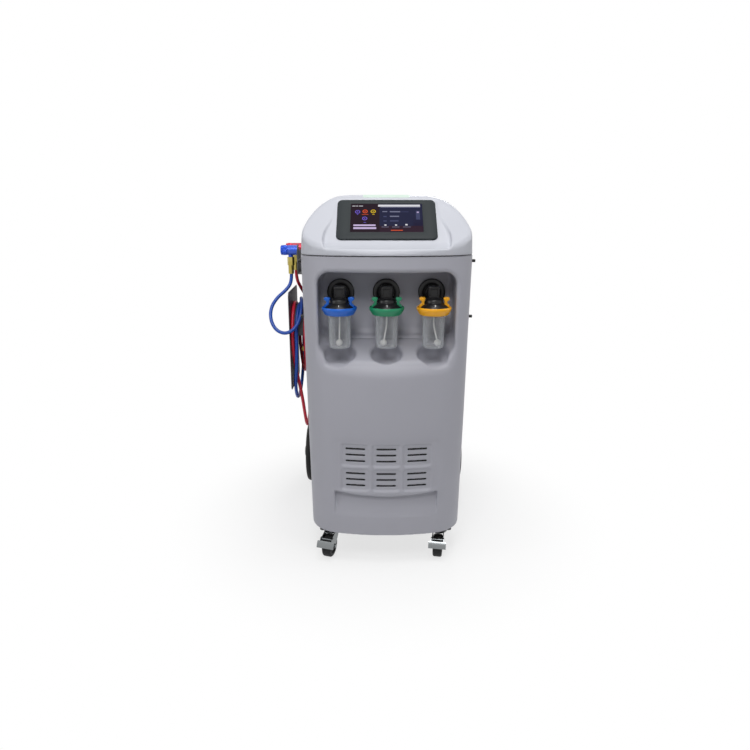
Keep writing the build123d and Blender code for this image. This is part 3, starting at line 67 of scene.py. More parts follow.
# Light: a lamp is its name, its place, the point that it faces, its size and its power in watts
LAMPS = (
    ("top", (0.1, -0.7, 3.0), (0, -0.1, 1.0), 1.0, 25),
    ("front", (-0.2, -1.75, 2.2), (0, -0.38, 0.6), 0.7, 14.5),
    ("rear", (0.5, 2.1, 2.1), (0, 0.3, 0.6), 0.7, 14),
    ("left", (-2.0, -0.9, 1.7), (-0.26, 0, 0.6), 0.7, 6.5),
    ("right", (2.0, -0.1, 1.7), (0.26, 0, 0.6), 0.7, 5.5),
)
WORLD_LIGHT = 0.2
FLOOR_HALF = 9
FLOOR_FADE_START = 0.32
FLOOR_FADE_END = 0.85
FLOOR_WHITE_NEAR = 0.72

# Hoses
HOSE_DIAMETER = 0.012
BLUE_LENGTH = 1.70
RED_LENGTH = 2.25
BLUE_ROUTE = [
    (-0.326, -0.036, 0.915), (-0.326, -0.036, 0.884), (-0.347, -0.049, 0.857), (-0.375, -0.067, 0.835),
    (-0.395, -0.086, 0.802), (-0.394, -0.106, 0.763), (-0.374, -0.120, 0.730), (-0.340, -0.126, 0.719),
    (-0.308, -0.119, 0.737), (-0.293, -0.100, 0.770), (-0.292, -0.066, 0.803), (-0.296, -0.022, 0.822),
    (-0.302, 0.024, 0.823), (-0.307, 0.074, 0.806), (-0.309, 0.112, 0.760), (-0.309, 0.119, 0.690),
    (-0.310, 0.121, 0.615), (-0.315, 0.117, 0.535), (-0.319, 0.084, 0.476), (-0.320, 0.018, 0.453),
    (-0.320, -0.050, 0.470), (-0.319, -0.088, 0.530), (-0.311, -0.092, 0.610), (-0.3095, -0.090, 0.690),
    (-0.309, -0.0875, 0.748), (-0.306, -0.028, 0.8065), (-0.298, 0.056, 0.8065), (-0.294, 0.1155, 0.748),
    (-0.294, 0.118, 0.704), (-0.294, 0.100, 0.664), (-0.294, 0.068, 0.640), (-0.294, 0.030, 0.640),
]
RED_ROUTE = [
    (-0.326, 0.094, 0.915), (-0.326, 0.094, 0.882), (-0.312, 0.108, 0.848), (-0.294, 0.124, 0.812),
    (-0.282, 0.134, 0.762), (-0.280, 0.137, 0.690), (-0.281, 0.139, 0.620), (-0.285, 0.143, 0.550),
    (-0.290, 0.147, 0.470), (-0.295, 0.140, 0.396), (-0.295, 0.112, 0.344), (-0.295, 0.061, 0.325),
    (-0.295, 0.012, 0.342), (-0.297, -0.020, 0.396), (-0.302, -0.042, 0.470), (-0.313, -0.060, 0.550),
    (-0.322, -0.079, 0.624), (-0.3235, -0.089, 0.690), (-0.323, -0.0875, 0.748), (-0.323, -0.028, 0.8065),
    (-0.323, 0.056, 0.8065), (-0.323, 0.1155, 0.748), (-0.323, 0.117, 0.690), (-0.321, 0.106, 0.632),
    (-0.312, 0.076, 0.580), (-0.300, 0.026, 0.556), (-0.288, -0.028, 0.566), (-0.281, -0.070, 0.612),
    (-0.279, -0.090, 0.672), (-0.279, -0.0875, 0.748), (-0.279, -0.028, 0.8065), (-0.277, 0.056, 0.8065),
    (-0.276, 0.1155, 0.748), (-0.275, 0.118, 0.702), (-0.275, 0.106, 0.664), (-0.276, 0.086, 0.632),
    (-0.276, 0.070, 0.606), (-0.276, 0.070, 0.576),
]

# Cabinet. From here on sizes are in millimetres and slopes in degrees.
SEAM_Z = 1000
FOOT_Z = 104
HALF_AT_SEAM = 263
HALF_AT_FOOT = 248
FRONT_Y = -386
FRONT_SWELL = 7
SWELL_TOP_Z = 750
SWELL_FULL_Z = 480
BACK_Y = 314
BOW_R = 760
CORNER_R = 105
REAR_CORNER_R = 20
PANEL_SEAM_Y = -256
SEAM_GAP = 1.3
LIP_R = 2.2
TUB_OVERLAP = 6
GASKET_INSETS = (3, 7)
GASKET_HALF_H = 3
BOW_STEPS = 16
CORNER_STEPS = 12

# Alcove
ALCOVE_HALF = 208
ALCOVE_TOP_Z = 952
ALCOVE_BACK_Y = -236
LEDGE_BACK_Z = 750
LEDGE_FRONT_Z = 671
ALCOVE_CORNER_R = 38
ALCOVE_BACK_R = 12
ALCOVE_WALL = 10
TUB_MID_Z = 815
TUB_HALF_H = 170
MOUTH_R = 14
LEDGE_LIP_R = 34
BOTTLE_X = (-144, 0, 144)
BOTTLE_Y = -326
POCKET_R = 48
POCKET_FLOOR_Z = 673
POCKET_TOP_Z = 800
POCKET_EDGE_R = 9
POCKET_FOOT_R = 22

# Vents and lower recess
RECESS_HALF = 165
RECESS_TOP_Z = 431
RECESS_FOOT_Z = 262
RECESS_DEPTH = 2
VENT_COLUMNS = 3
VENT_ROWS = 2
VENT_PITCH_X = 98
VENT_PITCH_Z = 84
VENT_TOP_ROW_Z = 382
VENT_W = 88
VENT_H = 73
VENT_R = 9
VENT_DEPTH = 4.6
VENT_SLOPE = 9
SLOT_L = 63
SLOT_H = 6.5
SLOT_PITCH = 20.5
SLOT_DEPTH = 30
SLOT_EDGE_R = 0.8
# Black plates in the slots, painted shade for the cabinet's dark inside: their depth behind the front, their
# margin round the slots and their thickness
SHADE_PLATE_DEPTH = 12
SHADE_PLATE_MARGIN = 3
SHADE_PLATE_T = 2
GROOVE_HALF = 165
GROOVE_TOP_Z = 255
GROOVE_DIP = 12
GROOVE_FOOT_Z = 171
GROOVE_DEPTH = 20
GROOVE_SIDE_R = 2
GROOVE_FOOT_R = 18
GROOVE_EDGE_R = 4

# Hood
NOSE_Y = -383
NOSE_Z = 1021
RIM_SLOPE = 28.6
SCREEN_SLOPE = 40
SEAT_Y = -313.1
SEAT_Z = 1042.6
FACE_LIFT = 1
CROWN_Y = -124
CROWN_Z = 1177
TAIL_SLOPE = 8.4
SHOULDER_X = 107.9
SHOULDER_Z = 1024.7
SHOULDER_R = 153.4
DISH_POINTS = ((-90, 178), (2, 192), (48, 184), (90, 168), (188, 158))
DISH_TOP = 188
HOOD_OVERHANG = 3
OVERHANG_FADE = 24
FACE_FILLET_R = 14
CROWN_R = 24
SHOULDER_EDGE_R = 10
SIDE_EDGE_R = 0.5
NOSE_EDGE_R = 12.5
NOSE_EDGE_Y = -240
TAIL_EDGE_R = 3.5
TAIL_EDGE_Y = 250
EDGE_FADE = 40
DISH_FLOOR_R = 16
DISH_CORNER_R = 20
DISH_FOOT_R = 9
DISH_RIM_R = 5
# Screen, in millimetres across and up the hood's slope from its seat
BEZEL_W = 304
BEZEL_H = 177
BEZEL_T = 5.5
BEZEL_R = 17
DISPLAY_W = 220
DISPLAY_H = 127
DISPLAY_START = 29.5
DISPLAY_T = 4.6
# How far off the slope the picture's parts start and end
PICTURE_FOOT = 4.55
PICTURE_GROUND = 4.75
PICTURE_MARK = 4.9
PICTURE_DOT = 4.8

# Bottles
FLANGE_R = 40
CUP_FOOT_Z = 720
CUP_TOP_Z = 822
CUP_TOP_R = 35
CUP_FOOT_R = 33
RING_R = 53.5
RING_TOP_Z = 846
EAR_TOP_Z = 876
EAR_OUT = 35
CAP_R = 44.2
NECK_TOP_Z = 906
PLUG_Z = 878
DISC_R = 43
NECK_W = 37
NECK_DEPTH = 26
NUMERAL_SIZE = 10.5
NUMERAL_TILT = 40

# Couplers
COUPLER_Y = {"blue": -36, "red": 94}
KNOB_X = -359
KNOB_Z = 995
KNOB_R = 16.9
KNOB_GROOVE_R = 15.6
KNOB_L = 24
FLUTED_R = 16.5
FLUTED_FROM = 7
FLUTED_TO = 20.3

# Castors
CASTOR_X = 181
CASTOR_Y = -314
CASTOR_H = 100
CASTOR_PLATE_W = 78
CASTOR_PLATE_DEPTH = 66
CASTOR_PLATE_R = 9
CASTOR_PLATE_T = 3.5


def added(name, data):
    """A new object at the origin, in the scene."""
    made = bpy.data.objects.new(name, data)
    bpy.context.scene.collection.objects.link(made)
    return made


def linear(red, green, blue):
    """A display colour of 0 to 255 as the linear colour that a shader takes."""
    def channel(value):
        share = value / 255
        return share / 12.92 if share <= 0.04045 else ((share + 0.055) / 1.055) ** 2.4
    return (channel(red), channel(green), channel(blue), 1)


def effect(name, inputs, outputs):
    """A shader node group with named number inputs and the outputs given as (name, socket type)."""
    group = bpy.data.node_groups.new(name, "ShaderNodeTree")
    for label, value in inputs:
        socket = group.interface.new_socket(label, in_out="INPUT", socket_type="NodeSocketFloat")
        socket.default_value = value
    for label, kind in outputs:
        group.interface.new_socket(label, in_out="OUTPUT", socket_type=kind)
    return group, group.nodes.new("NodeGroupInput"), group.nodes.new("NodeGroupOutput")


def fed(node, **inputs):
    """A node with its named inputs linked to sockets or set to values."""
    for label, value in inputs.items():
        socket = node.inputs[label.replace("_", " ")]
        if isinstance(value, bpy.types.NodeSocket):
            node.id_data.links.new(value, socket)
        else:
            socket.default_value = value
    return node


def math_node(tree, operation, first, second=None, clamp=False):
    """A math node fed by sockets or numbers, giving its output."""
    node = tree.nodes.new("ShaderNodeMath")
    node.operation = operation
    node.use_clamp = clamp
    for socket, value in zip(node.inputs, (first, second)):
        if isinstance(value, bpy.types.NodeSocket):
            tree.links.new(value, socket)
        elif value is not None:
            socket.default_value = value
    return node.outputs[0]


def noise_node(tree, scale, detail=3.0, stretch=None):
    """Noise on Object coordinates. The scale is a socket or a number, in cycles a metre."""
    place = tree.nodes.new("ShaderNodeTexCoord").outputs["Object"]
    if stretch is not None:
        place = fed(tree.nodes.new("ShaderNodeMapping"), Vector=place, Scale=stretch).outputs["Vector"]
    return fed(tree.nodes.new("ShaderNodeTexNoise"), Vector=place, Detail=detail, Scale=scale).outputs["Fac"]


def grain_effect():
    """Fine moulded or sprayed grain: a height, and a slow blotch that shifts tone and gloss."""
    group, inputs, outputs = effect(
        "grain", [("Scale", 900.0), ("Blotch Scale", 9.0)],
        [("Height", "NodeSocketFloat"), ("Blotch", "NodeSocketFloat")],
    )
    fed(outputs, Height=noise_node(group, inputs.outputs["Scale"], 2.0),
        Blotch=noise_node(group, inputs.outputs["Blotch Scale"], 4.0))
    return group


def wear_effect():
    """A mask along raised edges, broken up by noise."""
    group, inputs, outputs = effect(
        "edge_wear", [("Amount", 0.3), ("Sharpness", 14.0)], [("Mask", "NodeSocketFloat")]
    )
    edge = group.nodes.new("ShaderNodeNewGeometry").outputs["Pointiness"]
    raised = math_node(group, "SUBTRACT", edge, EDGE_START)
    steep = math_node(group, "MULTIPLY", raised, inputs.outputs["Sharpness"], clamp=True)
    broken = math_node(group, "MULTIPLY", steep, noise_node(group, 60.0, 5.0))
    fed(outputs, Mask=math_node(group, "MULTIPLY", broken, inputs.outputs["Amount"], clamp=True))
    return group


def dust_effect():
    """A mask on faces that look up, thicker in patches."""
    group, inputs, outputs = effect("dust", [("Amount", 0.2)], [("Mask", "NodeSocketFloat")])
    normal = group.nodes.new("ShaderNodeNewGeometry").outputs["Normal"]
    split = fed(group.nodes.new("ShaderNodeSeparateXYZ"), Vector=normal)
    up = math_node(group, "MULTIPLY", split.outputs["Z"], noise_node(group, 25.0, 6.0), clamp=True)
    fed(outputs, Mask=math_node(group, "MULTIPLY", up, inputs.outputs["Amount"]))
    return group


def streak_effect():
    """Fine turned or drawn lines along one axis, as a height and a mask."""
    group, inputs, outputs = effect(
        "streaks", [("Scale", 260.0)], [("Height", "NodeSocketFloat"), ("Mask", "NodeSocketFloat")]
    )
    lines = noise_node(group, inputs.outputs["Scale"], 2.0, stretch=(8.0, 1.0, 1.0))
    fed(outputs, Height=lines, Mask=math_node(group, "POWER", lines, 3.0))
    return group


GRAIN = grain_effect()
WEAR = wear_effect()
DUST = dust_effect()
STREAKS = streak_effect()
DUST_COLOUR = linear(150, 146, 140)


def placed(tree, group, **values):
    """An effect group placed in a material, with its own values."""
    node = tree.nodes.new("ShaderNodeGroup")
    node.node_tree = group
    return fed(node, **values)


def mixed(tree, share, first, second):
    """Two colours mixed by a socket or a number."""
    mix = tree.nodes.new("ShaderNodeMix")
    mix.data_type = "RGBA"
    for socket, value in zip((mix.inputs[0], mix.inputs[6], mix.inputs[7]), (share, first, second)):
        if isinstance(value, bpy.types.NodeSocket):
            tree.links.new(value, socket)
        else:
            socket.default_value = value
    return mix.outputs[2]


def new_material(name):
    """An empty node material with its Principled shader."""
    material = bpy.data.materials.new(name)
    material.use_nodes = True
    tree = material.node_tree
    return material, tree, tree.nodes["Principled BSDF"]


def relief(tree, height, strength, depth):
    """The normal of a fine relief, from a height that changes over the surface."""
    bump = tree.nodes.new("ShaderNodeBump")
    return fed(bump, Height=height, Strength=strength, Distance=depth).outputs["Normal"]


def coated(name, colour, roughness, metal=0.0, grain=900.0, bump=0.05, tone=0.06, gloss=0.08,
           wear=0.0, wear_colour=(0.5, 0.5, 0.5, 1), dust=0.05, streaks=None, **plain):
    """A finish with grain, slow tone, edge wear and dust. Plain values go to the shader's own sockets."""
    material, tree, shader = new_material(name)
    fine = placed(tree, GRAIN, Scale=grain)
    dark = tuple(part * (1 - tone) for part in colour[:3]) + (1,)
    base = mixed(tree, fine.outputs["Blotch"], dark, colour)
    height = fine.outputs["Height"]
    if streaks is not None:
        lines = placed(tree, STREAKS, Scale=streaks)
        height = lines.outputs["Height"]
    if wear:
        edge = placed(tree, WEAR, Amount=wear)
        base = mixed(tree, edge.outputs["Mask"], base, wear_colour)
    if dust:
        film = placed(tree, DUST, Amount=dust)
        base = mixed(tree, film.outputs["Mask"], base, DUST_COLOUR)
    spread = math_node(tree, "MULTIPLY", fine.outputs["Blotch"], gloss)
    rough = math_node(tree, "ADD", spread, roughness - gloss / 2)
    fed(shader, Base_Color=base, Metallic=metal, Roughness=rough,
        Normal=relief(tree, height, bump, GRAIN_DEPTH), **plain)
    return material


# Finishes, each named for the slot that it fills: its colour, its roughness and its other values
FINISHES = {
    "hood_paint": ((194, 196, 204), 0.46, dict(bump=0.05, tone=0.03, dust=0.02)),
    "front_paint": ((174, 174, 183), 0.5, dict(bump=0.06, tone=0.03, dust=0.02)),
    "side_paint": ((172, 172, 180), 0.5, dict(grain=420.0, bump=0.12, wear=0.12)),
    "frame_steel": ((70, 71, 74), 0.5, dict(metal=0.6, wear=0.5)),
    "charcoal": ((58, 59, 62), 0.5, dict(grain=500.0, bump=0.15, wear=0.35)),
    "black_plastic": ((17, 17, 19), 0.3, dict(bump=0.08, dust=0.01, Specular_IOR_Level=0.32)),
    "bezel_plastic": ((44, 49, 51), 0.5, dict(grain=1400.0, bump=0.06, dust=0.0, Specular_IOR_Level=0.14)),
    "screen_glass": ((14, 9, 14), 0.3, dict(bump=0.0, gloss=0.02, dust=0.0, Specular_IOR_Level=0.06)),
    "chrome": ((132, 136, 138), 0.26,
        dict(metal=1.0, bump=0.03, gloss=0.1, wear=0.2, wear_colour=linear(120, 116, 110))),
    "steel": ((168, 168, 172), 0.3, dict(metal=1.0, streaks=300.0, bump=0.08)),
    "brass": ((176, 160, 84), 0.32,
        dict(metal=1.0, bump=0.08, gloss=0.15, wear=0.3, wear_colour=linear(225, 212, 150))),
    "blue_anodised": ((14, 78, 206), 0.26, dict(metal=0.35, streaks=400.0, wear=0.15)),
    "red_anodised": ((206, 30, 62), 0.26, dict(metal=0.35, streaks=400.0, wear=0.15)),
    "blue_rubber": ((18, 74, 170), 0.34, dict(grain=1500.0, bump=0.1, dust=0.02)),
    "red_rubber": ((206, 28, 56), 0.34, dict(grain=1500.0, bump=0.1, dust=0.02)),
    "tyre_rubber": ((27, 27, 28), 0.6, dict(grain=700.0, bump=0.25, dust=0.1, Specular_IOR_Level=0.25)),
    "rim_plastic": ((120, 122, 126), 0.45, dict(bump=0.1, dust=0.1)),
    "white_plastic": ((240, 240, 238), 0.4, dict(dust=0.0, tone=0.02)),
    "ring_blue": ((12, 100, 206), 0.34, dict(tone=0.04, dust=0.0)),
    "ring_green": ((18, 138, 94), 0.34, dict(tone=0.04, dust=0.0)),
    "ring_yellow": ((252, 178, 12), 0.34, dict(tone=0.04, dust=0.0)),
    "tank_paint": ((150, 155, 164), 0.35, dict(wear=0.2)),
    "block_aluminium": ((190, 191, 194), 0.35, dict(metal=1.0, streaks=350.0)),
    "board_green": ((34, 96, 58), 0.35, dict(dust=0.1)),
}
finishes = {
    name: coated(name, linear(*colour), roughness, **values)
    for name, (colour, roughness, values) in FINISHES.items()
}


def clear_plastic():
    """The bottles' clear plastic: see-through face on, and greyer towards its edges."""
    material, tree, shader = new_material("bottle_clear")
    fine = placed(tree, GRAIN, Scale=60.0)
    tint = mixed(tree, fine.outputs["Blotch"], linear(214, 218, 222), linear(238, 241, 244))
    facing = fed(tree.nodes.new("ShaderNodeLayerWeight"), Blend=0.42)
    cover = math_node(tree, "MULTIPLY", facing.outputs["Facing"], 0.62)
    fed(shader, Base_Color=tint, Roughness=0.08, Specular_IOR_Level=0.6,
        Alpha=math_node(tree, "ADD", cover, 0.05, clamp=True),
        Normal=relief(tree, fine.outputs["Height"], 0.04, MM))
    return material


def lit(name, colour, strength):
    """A lit plastic or a lit part of the picture, faintly uneven."""
    material, tree, shader = new_material(name)
    fine = placed(tree, GRAIN, Scale=300.0, Blotch_Scale=40.0)
    dim = tuple(part * 0.88 for part in colour[:3]) + (1,)
    glow = mixed(tree, fine.outputs["Blotch"], dim, colour)
    fed(shader, Base_Color=(*(part * 0.12 for part in colour[:3]), 1), Emission_Color=glow,
        Emission_Strength=strength, Roughness=0.5, Specular_IOR_Level=0.04)
    return material


finishes["bottle_clear"] = clear_plastic()
finishes["light_lens"] = lit("light_lens", linear(232, 250, 238), 0.85)
PICTURE_COLOURS = {
    "maroon": ((34, 18, 30), 0.9),
    "navy": ((30, 32, 60), 0.9),
    "dusk": ((44, 24, 40), 0.9),
    "white": ((226, 226, 232), 0.8),
    "grey": ((128, 130, 156), 0.7),
    "slate": ((66, 70, 104), 0.8),
    "lilac": ((206, 186, 226), 0.8),
    "purple": ((112, 92, 200), 0.9),
    "orange": ((222, 84, 44), 0.9),
    "yellow": ((220, 184, 34), 0.9),
}
PICTURE = {
    name: lit(f"picture_{name}", linear(*colour), strength)
    for name, (colour, strength) in PICTURE_COLOURS.items()
}


# The camera
camera_data = bpy.data.cameras.new("camera")
camera_data.lens = CAMERA_LENS
camera_data.sensor_width = CAMERA_SENSOR
camera = added("camera", camera_data)
camera.location = CAMERA_PLACE
camera.rotation_euler = (math.radians(90 - CAMERA_PITCH), 0, 0)
bpy.context.scene.camera = camera


def dress(piece, body, slot, finish=None):
    """A piece given the material of its slot, or the finish given instead, and attached to its body."""
    piece.data.materials.clear()
    piece.data.materials.append(finish or finishes[slot])
    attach(piece, body)


def hose(name, route, slot):
    """A hose on one smooth line along its route."""
    curve = bpy.data.curves.new(name, "CURVE")
    curve.dimensions = "3D"
    curve.bevel_depth = HOSE_DIAMETER / 2
    curve.bevel_resolution = 6
    curve.resolution_u = 10
    curve.use_fill_caps = True
    spline = curve.splines.new("NURBS")
    spline.points.add(len(route) - 1)
    for point, place in zip(spline.points, route):
        point.co = (*place, 1)
    spline.order_u = 3
    spline.use_endpoint_u = True
    line = added(name, curve)
    dress(line, "cabinet", slot)
    return line


def meet(first, second, radius):
    """Where two fields overlap, with a round edge."""
    across = np.hypot(np.maximum(radius + first, 0), np.maximum(radius + second, 0))
    return np.minimum(-radius, np.maximum(first, second)) + across


def join(first, second, radius):
    """Two fields together, with a round inner corner."""
    return -meet(-first, -second, radius)


def half_width(z):
    """Half the cabinet's width at a height."""
    return HALF_AT_FOOT + (HALF_AT_SEAM - HALF_AT_FOOT) * (z - FOOT_Z) / (SEAM_Z - FOOT_Z)


def front_at(z):
    """Where the middle of the cabinet's front lies at a height."""
    return FRONT_Y - FRONT_SWELL * np.clip((SWELL_TOP_Z - z) / (SWELL_TOP_Z - SWELL_FULL_Z), 0, 1)


def plan_field(x, y, half, front):
    """Distance from the cabinet's outline seen from above, negative inside."""
    wide = np.abs(x)
    bow_y = front + BOW_R
    corner_x = half - CORNER_R
    corner_y = bow_y - np.sqrt((BOW_R - CORNER_R) ** 2 - corner_x ** 2)
    bow = np.hypot(x, y - bow_y) - BOW_R
    corner = np.hypot(wide - corner_x, y - corner_y) - CORNER_R
    at_corner = wide * (bow_y - corner_y) > corner_x * (bow_y - y)
    ahead = np.where(at_corner, corner, bow)
    beside = meet(wide - half, y - BACK_Y, REAR_CORNER_R)
    return np.where(y < corner_y, ahead, beside)


def bar_field(x, z, width, height, radius):
    """Distance from a bar with round corners, negative inside."""
    across = np.abs(x) - width / 2 + radius
    along = np.abs(z) - height / 2 + radius
    outside = np.hypot(np.maximum(across, 0), np.maximum(along, 0))
    return outside + np.minimum(np.maximum(across, along), 0) - radius


def eased(distance, slope):
    """A share from 0 outside to 1 inside, over a soft slope's width."""
    share = np.clip(0.5 - distance / slope, 0, 1)
    return share * share * (3 - 2 * share)


def alcove_field(x, y, z):
    """The alcove's room with its sloped ledge and three pockets."""
    slope = (LEDGE_BACK_Z - LEDGE_FRONT_Z) / (ALCOVE_BACK_Y - FRONT_Y)
    ledge = (LEDGE_FRONT_Z + slope * (y - FRONT_Y) - z) / math.hypot(1, slope)
    sides = np.abs(x) - ALCOVE_HALF
    across = np.maximum(meet(sides, z - ALCOVE_TOP_Z, ALCOVE_CORNER_R), meet(sides, ledge, ALCOVE_CORNER_R))
    room = meet(across, y - ALCOVE_BACK_Y, ALCOVE_BACK_R)
    for middle in BOTTLE_X:
        round_wall = np.hypot(x - middle, y - BOTTLE_Y) - POCKET_R
        pocket = np.maximum(meet(round_wall, POCKET_FLOOR_Z - z, POCKET_FOOT_R), z - POCKET_TOP_Z)
        room = join(room, pocket, POCKET_EDGE_R)
    return room


def vent_places():
    """The middle of each vent pad."""
    return [
        (column * VENT_PITCH_X, VENT_TOP_ROW_Z - row * VENT_PITCH_Z)
        for row in range(VENT_ROWS) for column in (-1, 0, 1)
    ]


def panel_field(x, y, z):
    """The front panel, solid behind its skin as far as the seam with the sides."""
    body = plan_field(x, y, half_width(z), front_at(z))
    recess_z = (RECESS_TOP_Z + RECESS_FOOT_Z) / 2
    recess = bar_field(x, z - recess_z, 2 * RECESS_HALF, RECESS_TOP_Z - RECESS_FOOT_Z, VENT_R)
    skin = body + RECESS_DEPTH * eased(recess, 2 * VENT_SLOPE)
    for vent_x, vent_z in vent_places():
        pad = bar_field(x - vent_x, z - vent_z, VENT_W, VENT_H, VENT_R)
        skin = skin + VENT_DEPTH * eased(pad, VENT_SLOPE)
    panel = meet(skin, y - PANEL_SEAM_Y, LIP_R)
    around_alcove = np.maximum(np.abs(x) - ALCOVE_HALF - ALCOVE_WALL, np.abs(z - TUB_MID_Z) - TUB_HALF_H)
    tub = np.maximum(around_alcove, y - ALCOVE_BACK_Y - ALCOVE_WALL)
    tub = np.maximum(tub, PANEL_SEAM_Y - TUB_OVERLAP - y)
    panel = np.minimum(panel, tub)
    for vent_x, vent_z in vent_places():
        for step in (-1, 0, 1):
            slot = bar_field(x - vent_x, z - vent_z - step * SLOT_PITCH, SLOT_L, SLOT_H, SLOT_H / 2)
            panel = meet(panel, -np.maximum(slot, -body - SLOT_DEPTH), SLOT_EDGE_R)
    lip_z = GROOVE_TOP_Z - GROOVE_DIP * (1 - (x / GROOVE_HALF) ** 2)
    share = np.clip((z - GROOVE_FOOT_Z) / (GROOVE_TOP_Z - GROOVE_FOOT_Z), 0, 1)
    sides = np.abs(x) - GROOVE_HALF
    groove = meet(meet(sides, z - lip_z, GROOVE_SIDE_R), GROOVE_FOOT_Z - z, GROOVE_FOOT_R)
    groove = meet(groove, -body - GROOVE_DEPTH * share, GROOVE_EDGE_R)
    panel = meet(panel, -groove, GROOVE_EDGE_R)
    lip_share = np.clip((LEDGE_BACK_Z - z) / (LEDGE_BACK_Z - LEDGE_FRONT_Z), 0, 1)
    mouth_r = MOUTH_R + (LEDGE_LIP_R - MOUTH_R) * lip_share * lip_share
    panel = meet(panel, -alcove_field(x, y, z), mouth_r)
    panel = meet(panel, z - SEAM_Z + SEAM_GAP, LIP_R)
    return meet(panel, FOOT_Z - z, LIP_R)


def dish_half(v):
    """Half the width of the dish round the screen, smoothed along the slope."""
    along, half = zip(*DISH_POINTS)
    steps = range(-24, 25, 6)
    return sum(np.interp(v + step, along, half) for step in steps) / len(steps)


def off_slope(along, up, degrees):
    """How far a place lies off a plane that rises by an angle towards the rear."""
    slope = math.radians(degrees)
    return up * math.cos(slope) - along * math.sin(slope)


def hood_field(x, y, z):
    """The hood, less the dish that the screen sits in."""
    lift = off_slope(y - SEAT_Y, z - SEAT_Z, SCREEN_SLOPE)
    slope = math.radians(SCREEN_SLOPE)
    v = (y - SEAT_Y) * math.cos(slope) + (z - SEAT_Z) * math.sin(slope)
    rim = off_slope(y - NOSE_Y, z - NOSE_Z, RIM_SLOPE)
    tail = off_slope(y - CROWN_Y, z - CROWN_Z, -TAIL_SLOPE)
    profile = meet(join(rim, lift - FACE_LIFT, FACE_FILLET_R), tail, CROWN_R)
    over = np.hypot(np.maximum(np.abs(x) - SHOULDER_X, 0), np.maximum(z - SHOULDER_Z, 0))
    over = over - SHOULDER_R - HOOD_OVERHANG * np.clip((SHOULDER_Z - z) / OVERHANG_FADE, 0, 1)
    top = meet(profile, over, SHOULDER_EDGE_R)
    at_nose = np.clip((NOSE_EDGE_Y - y) / EDGE_FADE, 0, 1)
    at_tail = np.clip((y - TAIL_EDGE_Y) / EDGE_FADE, 0, 1)
    edge_r = SIDE_EDGE_R + NOSE_EDGE_R * at_nose + TAIL_EDGE_R * at_tail
    hood = meet(top, plan_field(x, y, HALF_AT_SEAM, FRONT_Y) - HOOD_OVERHANG, edge_r)
    dish_floor = meet(NOSE_Z - z, -lift, DISH_FLOOR_R)
    ends = meet(np.abs(x) - dish_half(v), v - DISH_TOP, DISH_CORNER_R)
    hood = meet(hood, -meet(ends, dish_floor, DISH_FOOT_R), DISH_RIM_R)
    return meet(hood, SEAM_Z + SEAM_GAP - z, LIP_R)


def stations(*spans):
    """Grid stations over spans of (start, end, step), each span's end shared with the next."""
    places = []
    for start, end, step in spans:
        count = max(round((end - start) / step), 1)
        places += [start + (end - start) * number / count for number in range(count)]
    return np.array(places + [spans[-1][1]], float)


def skin_of(field, xs, ys, zs):
    """The surface where a field is zero, as corner points and quads that look outwards."""
    grid = np.meshgrid(xs, ys, zs, indexing="ij")
    values = field(*grid)
    inside = values < 0
    cells = tuple(size - 1 for size in values.shape)
    places = np.zeros(cells + (3,))
    crossings = np.zeros(cells)

    def corner(array, shift):
        return array[tuple(slice(step, step + size) for step, size in zip(shift, cells))]

    for axis in range(3):
        for first in (0, 1):
            for second in (0, 1):
                low = [first, second]
                low.insert(axis, 0)
                high = [first, second]
                high.insert(axis, 1)
                start, end = corner(values, low), corner(values, high)
                crossed = (start < 0) != (end < 0)
                share = np.where(crossed, start / np.where(crossed, start - end, 1), 0)
                for part in range(3):
                    from_low, from_high = corner(grid[part], low), corner(grid[part], high)
                    places[..., part] += np.where(crossed, from_low + share * (from_high - from_low), 0)
                crossings += crossed
    cut = crossings > 0
    number = np.full(cells, -1)
    number[cut] = np.arange(cut.sum())
    points = places[cut] / crossings[cut][:, None]
    quads = []
    for axis in range(3):
        others = [part for part in range(3) if part != axis]
        ahead = np.roll(inside, -1, axis)
        changed = inside != ahead
        trimmed = [slice(1, size - 1) for size in inside.shape]
        trimmed[axis] = slice(0, inside.shape[axis] - 1)
        where = np.argwhere(changed[tuple(trimmed)])
        where += [part.start for part in trimmed]
        leaving = inside[tuple(where.T)]
        around = []
        for back_first, back_second in ((0, 0), (1, 0), (1, 1), (0, 1)):
            place = where.copy()
            place[:, others[0]] -= back_first
            place[:, others[1]] -= back_second
            around.append(number[tuple(place.T)])
        ring = np.stack(around, 1)
        flip = leaving if axis == 1 else ~leaving
        ring[flip] = ring[flip][:, ::-1]
        quads.append(ring)
    for _ in range(SKIN_PASSES):
        here = field(*points.T)
        slope = np.stack([
            (field(*(points + reach).T) - field(*(points - reach).T)) / (2 * SKIN_PROBE)
            for reach in SKIN_PROBE * np.eye(3)
        ], 1)
        steep = np.maximum((slope ** 2).sum(1), 0.25)
        points = points - np.clip(here / steep, -1, 1)[:, None] * slope
    return points, np.concatenate(quads)


def finished(name, points, faces, slot, body="cabinet", nodes_replaced=(), recalc=True, finish=None):
    """A piece made from points in millimetres, dressed and riding on its body."""
    mesh = bpy.data.meshes.new(name)
    mesh.from_pydata((np.asarray(points, float) * MM).tolist(), [], faces)
    if recalc:
        bm = bmesh.new()
        bm.from_mesh(mesh)
        bmesh.ops.recalc_face_normals(bm, faces=bm.faces)
        bm.to_mesh(mesh)
        bm.free()
    mesh.shade_smooth()
    mesh.set_sharp_from_angle(angle=SHARP_ANGLE)
    piece = added(name, mesh)
    dress(piece, body, slot, finish)
    if nodes_replaced:
        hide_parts(*nodes_replaced)


